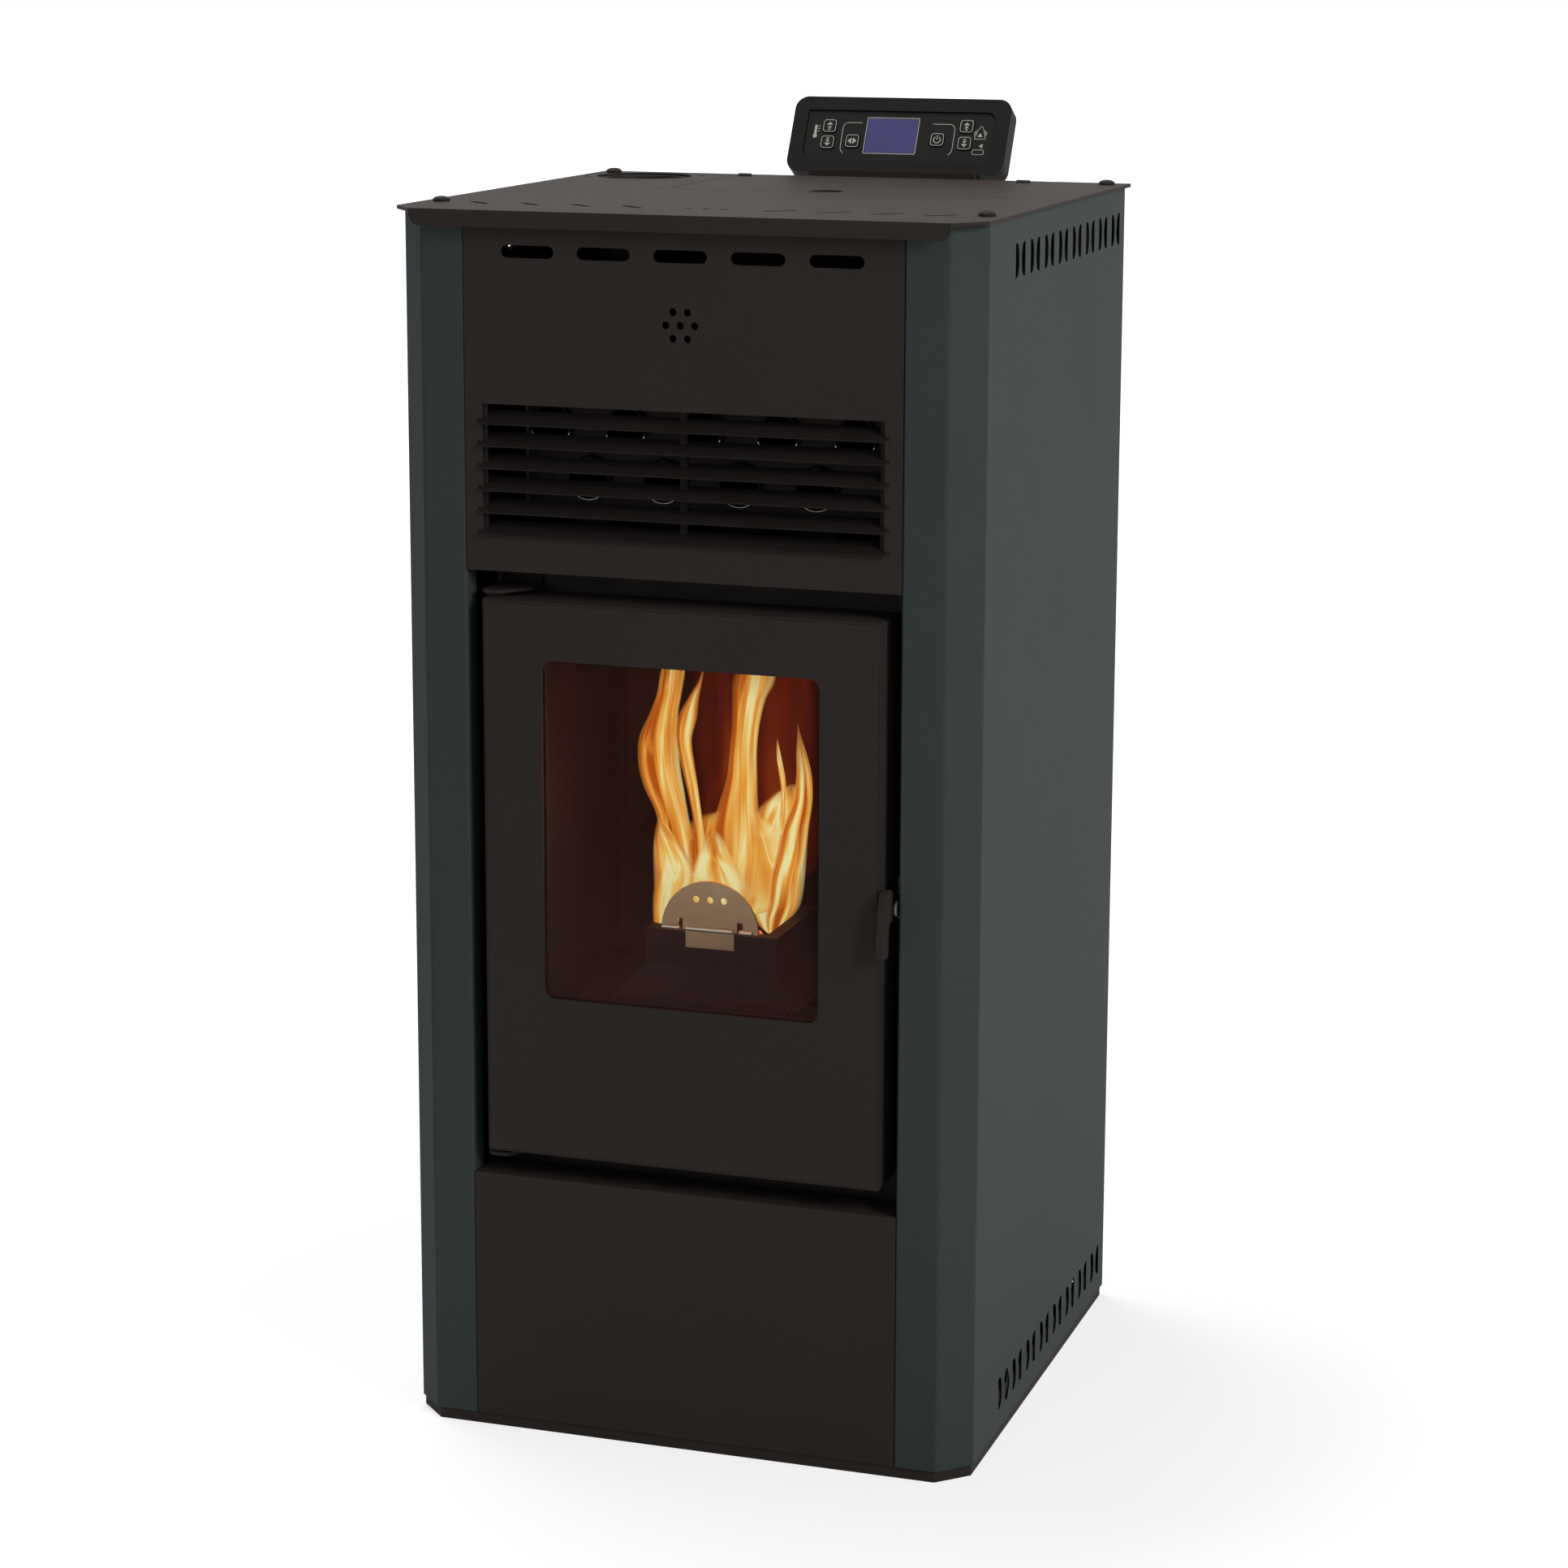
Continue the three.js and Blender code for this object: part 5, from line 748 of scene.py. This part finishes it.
panel = {
    "middle": (26.0, 243.76, 1049.36), "lean": 29.0,
    "housing": (201.0, 74.0, 12.0, 20.0), "bezel": (174.0, 47.0, 9.0, 2.5), "recess": 1.5, "gap": 0.3,
    "screen": (-7.0, 46.0, 33.0), "key": (13.0, 2.5), "keyTop": -0.6, "keyLow": -7.4, "cornerSteps": 10,
    "lowCorner": 0.8, "screenDepth": 2.0, "keyGap": 0.8, "holeRound": 0.4, "wellDepth": 4.0,
    "housingEdge": (1.1, 4), "bezelEdge": (0.25, 2), "keyEdge": (0.35, 2), "keySteps": 6,
    "keys": {"key_left_up": (-65.5, 8.5), "key_left_down": (-65.5, -7.5), "key_menu": (-42.5, -6.0),
             "key_power": (36.0, -3.0), "key_right_up": (61.5, 10.5), "key_right_down": (61.5, -6.0)},
}


def panelMatrix():
    lean = math.radians(panel["lean"])
    axes = Matrix(((1, 0, 0), (0, math.sin(lean), -math.cos(lean)), (0, math.cos(lean), math.sin(lean))))
    return Matrix.Translation(Vector(panel["middle"]) * mm) @ axes.to_4x4()


def plateLoop(bm, u, v, width, height, w, radii, steps):
    corners = [bm.verts.new(((u + a * width / 2) * mm, (v + b * height / 2) * mm, w * mm))
               for a, b in ((-1, -1), (1, -1), (1, 1), (-1, 1))]
    bm.faces.new(corners)
    for corner, radius in zip(corners, radii):
        if radius > 0:
            bmesh.ops.bevel(bm, geom=[corner], offset=radius * mm, offset_type="OFFSET", affect="VERTICES",
                            segments=steps, profile=0.5, material=-1)
    return [face for face in bm.faces if face.is_valid][-1]


def roundedPlate(u, v, width, height, low, high, radius, steps=None, radii=None):
    bm = bmesh.new()
    face = plateLoop(bm, u, v, width, height, low, radii or [radius] * 4, steps or panel["cornerSteps"])
    raised = bmesh.ops.extrude_face_region(bm, geom=[face])
    lifted = [item for item in raised["geom"] if isinstance(item, bmesh.types.BMVert)]
    bmesh.ops.translate(bm, verts=lifted, vec=(0, 0, (high - low) * mm))
    closeUp(bm)
    return bm


def closeUp(bm):
    openEdges = [edge for edge in bm.edges if len(edge.link_faces) == 1]
    if openEdges:
        bmesh.ops.holes_fill(bm, edges=openEdges)
    bmesh.ops.recalc_face_normals(bm, faces=bm.faces)


def addInto(bm, other):
    mesh = bpy.data.meshes.new("passing")
    other.to_mesh(mesh)
    other.free()
    bm.from_mesh(mesh)
    bpy.data.meshes.remove(mesh)


def shapePlate(points, low, high):
    bm = bmesh.new()
    face = bm.faces.new([bm.verts.new((u * mm, v * mm, low * mm)) for u, v in points])
    raised = bmesh.ops.extrude_face_region(bm, geom=[face])
    lifted = [item for item in raised["geom"] if isinstance(item, bmesh.types.BMVert)]
    bmesh.ops.translate(bm, verts=lifted, vec=(0, 0, (high - low) * mm))
    closeUp(bm)
    return bm


def linePlate(points, width, low, high, closed=False):
    # a closed line keeps a hair's gap, so that it stays one plain outline
    if closed:
        first, last = Vector(points[0]), Vector(points[-1])
        points = points + [tuple(first + (last - first).normalized() * 0.02)]
    half = width / 2
    left, right = [], []
    for i, (u, v) in enumerate(points):
        before = Vector(points[max(i - 1, 0)])
        after = Vector(points[min(i + 1, len(points) - 1)])
        along = (after - before).normalized()
        across = Vector((-along.y, along.x)) * half
        left.append((u + across.x, v + across.y))
        right.append((u - across.x, v - across.y))
    return shapePlate(left + right[::-1], low, high)


def roundedPath(u, v, width, height, radius, steps=6):
    path = []
    for a, b, start in ((1, 1, 0), (-1, 1, 90), (-1, -1, 180), (1, -1, 270)):
        for i in range(steps + 1):
            angle = math.radians(start + 90 * i / steps)
            path.append((u + a * (width / 2 - radius) + radius * math.cos(angle),
                         v + b * (height / 2 - radius) + radius * math.sin(angle)))
    return path


def arcPath(u, v, radius, start, sweep, steps=16):
    turns = [math.radians(start + sweep * i / steps) for i in range(steps + 1)]
    return [(u + radius * math.cos(a), v + radius * math.sin(a)) for a in turns]


prints = {
    "line": 0.55, "thick": 0.1, "outline": 11.4, "outlineRadius": 2.4,
    # line round the screen: margin, corner radius, width
    "screenRim": (2.0, 0.6, 0.7),
    # arrow heads of the up and down keys: shift, width, height
    "stack": ((2.3, 5.6, 2.9), (-0.9, 4.2, 2.2), (-3.3, 3.0, 1.6)),
    # arrow heads of the menu key: distance from its middle, width, height
    "pair": (2.4, 6.2, 3.6),
    # power mark: ring shift, radius and line, then bar half width and height
    "power": (0.3, 3.1, 0.8, 0.4, 4.1),
    "openRing": (125, 290),
    "arms": ([(-35.5, 12.3), (-49.0, 12.3), (-51.2, 11.4), (-52.6, 9.3), (-53.0, 7.0), (-53.0, -11.5),
              (-52.4, -14.8), (-49.8, -17.8)],
             [(30.0, 12.3), (46.6, 12.3), (48.9, 11.4), (50.4, 9.3), (50.9, 7.0), (50.9, -11.5),
              (50.3, -14.8), (47.8, -17.8)]),
    "bulb": (-78.4, -1.4, 2.0), "stem": [(-77.3, 9.4), (-79.5, 9.4)],
    # marks beside the stem: left, right, first height, pitch, thickness, count
    "marks": (-76.6, -74.6, 3.2, 2.4, 0.6, 3),
    "house": [(69.9, -1.4), (79.7, -1.4), (79.7, 4.3), (81.0, 4.3), (76.4, 8.6), (76.4, 10.6),
              (73.6, 10.6), (73.6, 8.8), (68.6, 4.3), (69.9, 4.3)],
    # arrow heads in and under the house: place, width, height, turn
    "houseArrows": ((74.8, 2.6, 4.6, 3.8, 0), (76.6, -8.2, 4.4, 3.4, 90)),
    "pill": (74.8, -14.2, 10.4, 4.6, 1.6),
}


def arrowHead(u, v, wide, tall, turn):
    angle = math.radians(turn)
    points = ((-wide / 2, -tall / 2), (wide / 2, -tall / 2), (0, tall / 2))
    return [(u + x * math.cos(angle) - y * math.sin(angle), v + x * math.sin(angle) + y * math.cos(angle))
            for x, y in points]


def keyPrint(node):
    p = prints
    u, v = panel["keys"][node]
    low, high = panel["keyTop"], panel["keyTop"] + p["thick"]
    outline = roundedPath(u, v, p["outline"], p["outline"], p["outlineRadius"])
    bm = linePlate(outline, p["line"], low, high, True)
    if node.endswith(("up", "down")):
        turn, way = (0, 1) if node.endswith("up") else (180, -1)
        for shift, wide, tall in p["stack"]:
            addInto(bm, shapePlate(arrowHead(u, v + way * shift, wide, tall, turn), low, high))
    elif node == "key_menu":
        shift, wide, tall = p["pair"]
        for way in (-1, 1):
            addInto(bm, shapePlate(arrowHead(u + way * shift, v, wide, tall, -90 * way), low, high))
    else:
        drop, radius, line, half, tall = p["power"]
        addInto(bm, linePlate(arcPath(u, v - drop, radius, *p["openRing"]), line, low, high))
        corners = [(u - half, v), (u + half, v), (u + half, v + tall), (u - half, v + tall)]
        addInto(bm, shapePlate(corners, low, high))
    return bm


def bezelPrint():
    p = prints
    low = -panel["recess"]
    high = low + p["thick"]
    bm = bmesh.new()
    for path in p["arms"]:
        addInto(bm, linePlate(path, p["line"], low, high))
    u, width, height = panel["screen"]
    margin, radius, line = p["screenRim"]
    rim = roundedPath(u, 0, width + margin, height + margin, radius, 2)
    addInto(bm, linePlate(rim, line, low, high, True))
    addInto(bm, shapePlate(arcPath(*p["bulb"], *p["openRing"], 12) + p["stem"], low, high))
    left, right, first, pitch, thick, count = p["marks"]
    for i in range(count):
        v = first + i * pitch
        addInto(bm, shapePlate([(left, v), (right, v), (right, v + thick), (left, v + thick)], low, high))
    addInto(bm, linePlate(p["house"], p["line"], low, high, True))
    for arrow in p["houseArrows"]:
        addInto(bm, shapePlate(arrowHead(*arrow), low, high))
    addInto(bm, linePlate(roundedPath(*p["pill"]), p["line"], low, high, True))
    return bm


def makeControlPanel(finishes):
    p = panel
    place = panelMatrix()
    width, height, corner, deep = p["housing"]
    bezelWidth, bezelHeight, bezelCorner, bezelThick = p["bezel"]
    gap, recess = p["gap"], p["recess"]
    keySize, keyRadius = p["key"]
    hole = keySize + p["keyGap"]
    bezelBack = -recess - bezelThick
    floorAt = bezelBack - gap
    bezelRadii = [bezelCorner, bezelCorner, bezelCorner, p["lowCorner"]]

    housing = roundedPlate(0, 0, width, height, -deep, 0, corner)
    cutter = roundedPlate(0, 0, bezelWidth + 2 * gap, bezelHeight + 2 * gap, floorAt, 2, 0, radii=bezelRadii)
    housing = cutAway(housing, cutter)
    cutter = bmesh.new()
    for u, v in p["keys"].values():
        addInto(cutter, roundedPlate(u, v, hole, hole, floorAt - p["wellDepth"], floorAt + 1, 0, 1))
    housing = cutAway(housing, cutter)
    housing.transform(place)
    piece = putPiece("panelHousing", housing, finishes["plastic"], "casing", ["panel_housing"])
    softenEdges(piece, *p["housingEdge"])

    bezel = roundedPlate(0, 0, bezelWidth, bezelHeight, bezelBack, -recess, 0, radii=bezelRadii)
    cutter = bmesh.new()
    u, wide, tall = p["screen"]
    screenFloor = -recess - p["screenDepth"] - gap
    addInto(cutter, roundedPlate(u, 0, wide + 2 * gap, tall + 2 * gap, screenFloor, 1, 0, 1))
    for u, v in p["keys"].values():
        radius = keyRadius + p["holeRound"]
        addInto(cutter, roundedPlate(u, v, hole, hole, floorAt - p["wellDepth"], 1, radius, p["keySteps"]))
    bezel = cutAway(bezel, cutter)
    bezel.transform(place)
    piece = putPiece("panelBezel", bezel, finishes["keypad"], "casing", ["panel_bezel"])
    softenEdges(piece, *p["bezelEdge"])

    for node, (u, v) in p["keys"].items():
        key = roundedPlate(u, v, keySize, keySize, p["keyLow"], p["keyTop"], keyRadius, p["keySteps"])
        key.transform(place)
        body = nodes[node]["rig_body"]
        piece = putPiece(camelName(node), key, finishes["keypad"], body, [node])
        softenEdges(piece, *p["keyEdge"])
        marks = keyPrint(node)
        marks.transform(place)
        putPiece(camelName(node) + "Print", marks, finishes["print"], body)
    marks = bezelPrint()
    marks.transform(place)
    putPiece("bezelPrint", marks, finishes["print"], "casing")
    print("control panel made")


# fire in the burn pot

# each tongue: height, middle and width at stations from its foot up, then depth place and thickness
tongues = {
    "flameWide": ([(420, -43, 30), (436, -46, 30), (453, -47, 29), (480, -50, 28), (506, -55, 28),
                   (527, -62, 35), (547, -66, 37), (569, -66, 35), (589, -62, 25), (607, -57, 21),
                   (625, -54, 21), (650, -50, 15), (672, -45, 4)], -128, 20),
    "flameSlim": ([(420, -20, 20), (438, -23, 16), (451, -23, 14), (473, -25, 10), (491, -26, 8),
                   (512, -29, 8), (534, -33, 10), (554, -37, 12), (573, -40, 14), (591, -37, 17),
                   (609, -31, 9), (624, -25, 4), (645, -20, 2)], -140, 8),
    "flameTall": ([(420, 2, 40), (440, 1, 39), (454, 1, 41), (476, 3, 43), (498, 4, 44), (520, 6, 34),
                   (542, 9, 26), (564, 10, 23), (586, 12, 23), (609, 15, 28), (624, 19, 36),
                   (648, 24, 32), (674, 32, 8)], -134, 22),
    "flameEnd": ([(404, 34, 22), (422, 37, 21), (436, 41, 23), (458, 44, 25), (480, 49, 25),
                  (502, 53, 23), (525, 59, 17), (547, 60, 13), (568, 57, 8), (592, 54, 1)], -126, 14),
    "flameLick": ([(500, 47, 7), (528, 49, 4), (546, 48, 5), (563, 45, 4), (581, 43, 1)], -146, 4),
    "flameFoot": ([(404, -48, 20), (416, -48, 21), (436, -46, 26), (454, -42, 32), (470, -41, 35),
                   (488, -46, 24), (500, -50, 13), (512, -54, 3)], -164, 12),
    "flameHeart": ([(428, -4, 56), (440, -5, 58), (456, -7, 54), (470, -9, 40), (484, -10, 24),
                    (500, -9, 9)], -150, 10),
    "flameValley": ([(404, 27, 40), (440, 28, 54), (470, 29, 58), (495, 33, 54), (512, 38, 44),
                     (524, 42, 30), (535, 46, 14)], -112, 12),
    "flameLow": ([(420, -4, 92), (435, -4, 106), (448, -4, 110), (466, -3, 110), (484, -2, 104),
                  (500, 0, 80), (512, 2, 40)], -118, 22),
}
tongueSteps = (24, 56)
# share of a tongue's length that closes at each end, and the least width before that
tipShare = 1 / 7
leastWidth = 0.6
# a wide glowing sheet behind the tongues: painted firelight on the back of the firebox
paintedGlowBehind = {"levels": [(430, 0, 100), (470, 0, 112), (520, 0, 116), (580, 0, 116), (640, 0, 110),
                         (674, 0, 92)], "place": -72, "thick": 8}


def levelAt(levels, rise):
    at = rise * (len(levels) - 1)
    i = min(int(at), len(levels) - 2)
    t = at - i
    around = [levels[max(i - 1, 0)], levels[i], levels[i + 1], levels[min(i + 2, len(levels) - 1)]]
    found = []
    for a, b, c, d in zip(*around):
        found.append(0.5 * (2 * b + (c - a) * t + (2 * a - 5 * b + 4 * c - d) * t ** 2
                            + (3 * b - a - 3 * c + d) * t ** 3))
    return found


def makeTongue(name, levels, place, thick, finish):
    bm = bmesh.new()
    bmesh.ops.create_uvsphere(bm, u_segments=tongueSteps[0], v_segments=tongueSteps[1], radius=1)
    side = bm.verts.layers.float.new("side")
    riseLayer = bm.verts.layers.float.new("rise")
    for vert in bm.verts:
        rise = 0.5 + math.asin(max(-1.0, min(1.0, vert.co.z))) / math.pi
        across = math.hypot(vert.co.x, vert.co.y)
        dx, dy = (vert.co.x / across, vert.co.y / across) if across > 1e-4 else (0.0, 0.0)
        height, middle, width = levelAt(levels, rise)
        end = math.sin(math.pi / 2 * min(1.0, min(rise, 1 - rise) / tipShare))
        half = max(width, leastWidth) / 2 * end
        vert[side] = dx
        vert[riseLayer] = rise
        vert.co = Vector((middle + half * dx, place + min(half, thick / 2) * dy, height)) * mm
    for face in bm.faces:
        face.smooth = True
    bmesh.ops.recalc_face_normals(bm, faces=bm.faces)
    return putPiece(name, bm, finish, "casing")


embers = {"count": 120, "halfX": 40.0, "frontY": -170.0, "rearY": -92.0, "low": 378.0, "high": 396.0,
          "radius": 3.1, "steps": 8, "lengths": (8.0, 17.0), "heap": 8.0, "lift": 3.0, "tumble": 22.0,
          "seed": 7}


def makeFire(finishes):
    for name, (levels, place, thick) in tongues.items():
        makeTongue(name, levels, place, thick, finishes["flame"])
    g = paintedGlowBehind
    makeTongue("paintedGlowBehind", g["levels"], g["place"], g["thick"], finishes["paintedBackGlow"])
    e = embers
    dice = random.Random(e["seed"])
    bm = bmesh.new()
    for i in range(e["count"]):
        length = dice.uniform(*e["lengths"])
        share = i / e["count"]
        x = dice.uniform(-1, 1) * (e["halfX"] - e["heap"] * share)
        y = dice.uniform(e["frontY"], e["rearY"])
        z = e["low"] + e["lift"] + (e["high"] - e["low"]) * share
        turn = Matrix.Rotation(dice.uniform(0, math.pi), 4, "Z")
        tumble = Matrix.Rotation(math.radians(90 + dice.uniform(-e["tumble"], e["tumble"])), 4, "X")
        seat = Matrix.Translation(Vector((x, y, z)) * mm) @ turn @ tumble
        bmesh.ops.create_cone(bm, cap_ends=True, segments=e["steps"], radius1=e["radius"] * mm,
                              radius2=e["radius"] * mm, depth=length * mm, matrix=seat)
    putPiece("emberBed", bm, finishes["ember"], "casing")
    print("fire lit")


# rolled hems on the flame plate, pale as a painted highlight, and thin bright steel arcs under the tube ends
# as painted glints

plateHems = {"spans": [(-41.0, -26.0), (-20.4, 20.4), (26.0, 37.0)], "front": -190.4, "height": 425.2,
             "radius": 1.9, "steps": 16, "edge": (0.3, 2)}
tubeRims = {"rows": [(754.3, 5), (796.3, 4), (838.3, 5)], "pitch": 64.0, "front": -210.4, "radius": 17.1,
            "bead": 0.55, "from": 196.0, "sweep": 148.0, "steps": 22, "sides": 8}


def makeHems(finishes):
    h = plateHems
    bm = bmesh.new()
    lying = Matrix.Rotation(math.radians(90), 4, "Y")
    for left, right in h["spans"]:
        spot = Vector(((left + right) / 2, h["front"], h["height"])) * mm
        bmesh.ops.create_cone(bm, cap_ends=True, segments=h["steps"], radius1=h["radius"] * mm,
                              radius2=h["radius"] * mm, depth=(right - left) * mm,
                              matrix=Matrix.Translation(spot) @ lying)
    piece = putPiece("flamePlateHems", bm, finishes["brightHem"], "casing")
    softenEdges(piece, *h["edge"])


# bright arcs along the lower side of each tube end: painted glints
def makeTubeRims(finishes):
    r = tubeRims
    bm = bmesh.new()
    for height, count in r["rows"]:
        for i in range(count):
            x = (i - (count - 1) / 2) * r["pitch"]
            centre = Vector((x, r["front"], height)) * mm
            start = math.radians(r["from"])
            out = Vector((math.cos(start), 0, math.sin(start)))
            seat = Matrix.Translation(centre + out * r["radius"] * mm) @ Matrix.Rotation(-start, 4, "Y")
            made = bmesh.ops.create_circle(bm, cap_ends=True, segments=r["sides"], radius=r["bead"] * mm,
                                           matrix=seat)
            verts = made["verts"]
            edges = list(dict.fromkeys(edge for vert in verts for edge in vert.link_edges))
            faces = list(dict.fromkeys(face for vert in verts for face in vert.link_faces))
            bmesh.ops.spin(bm, geom=verts + edges + faces, cent=centre, axis=(0, -1, 0),
                           angle=math.radians(r["sweep"]), steps=r["steps"])
    bmesh.ops.remove_doubles(bm, verts=bm.verts, dist=0.001 * mm)
    bmesh.ops.recalc_face_normals(bm, faces=bm.faces)
    for face in bm.faces:
        face.smooth = len(face.verts) == 4
    putPiece("tubeGlintArcs", bm, finishes["bead"], "casing")
    print("hems and beads laid")


# small screws on the rear panel

rearScrews = {"places": [(x, z) for x in (-212.0, 212.0) for z in (40.0, 350.0, 670.0, 980.0)]
              + [(x, z) for x in (-90.0, 90.0) for z in (24.0, 990.0)],
              "face": 209.0, "radius": 4.2, "crown": 0.62, "high": 1.3, "steps": 20, "edge": (0.3, 2)}


def makeRearScrews(finishes):
    s = rearScrews
    bm = bmesh.new()
    for x, z in s["places"]:
        made = bmesh.ops.create_cone(bm, cap_ends=True, segments=s["steps"], radius1=s["radius"] * mm,
                                     radius2=s["radius"] * s["crown"] * mm, depth=s["high"] * mm,
                                     matrix=Matrix.Rotation(math.radians(-90), 4, "X"))
        shift = Vector((x, s["face"] + s["high"] / 2, z)) * mm
        bmesh.ops.translate(bm, verts=made["verts"], vec=shift)
    piece = putPiece("rearScrews", bm, finishes["steel"], "casing")
    softenEdges(piece, *s["edge"])
    print("rear screws set")


makeCamera()
makeBackdrop()
makeFloor()
makeLamps()
finishes = makeFinishes()
dressNodes(finishes)
makeSidePanels(finishes)
makeTopScrews(finishes)
makeControlPanel(finishes)
makeFire(finishes)
makeHems(finishes)
makeTubeRims(finishes)
makeRearScrews(finishes)
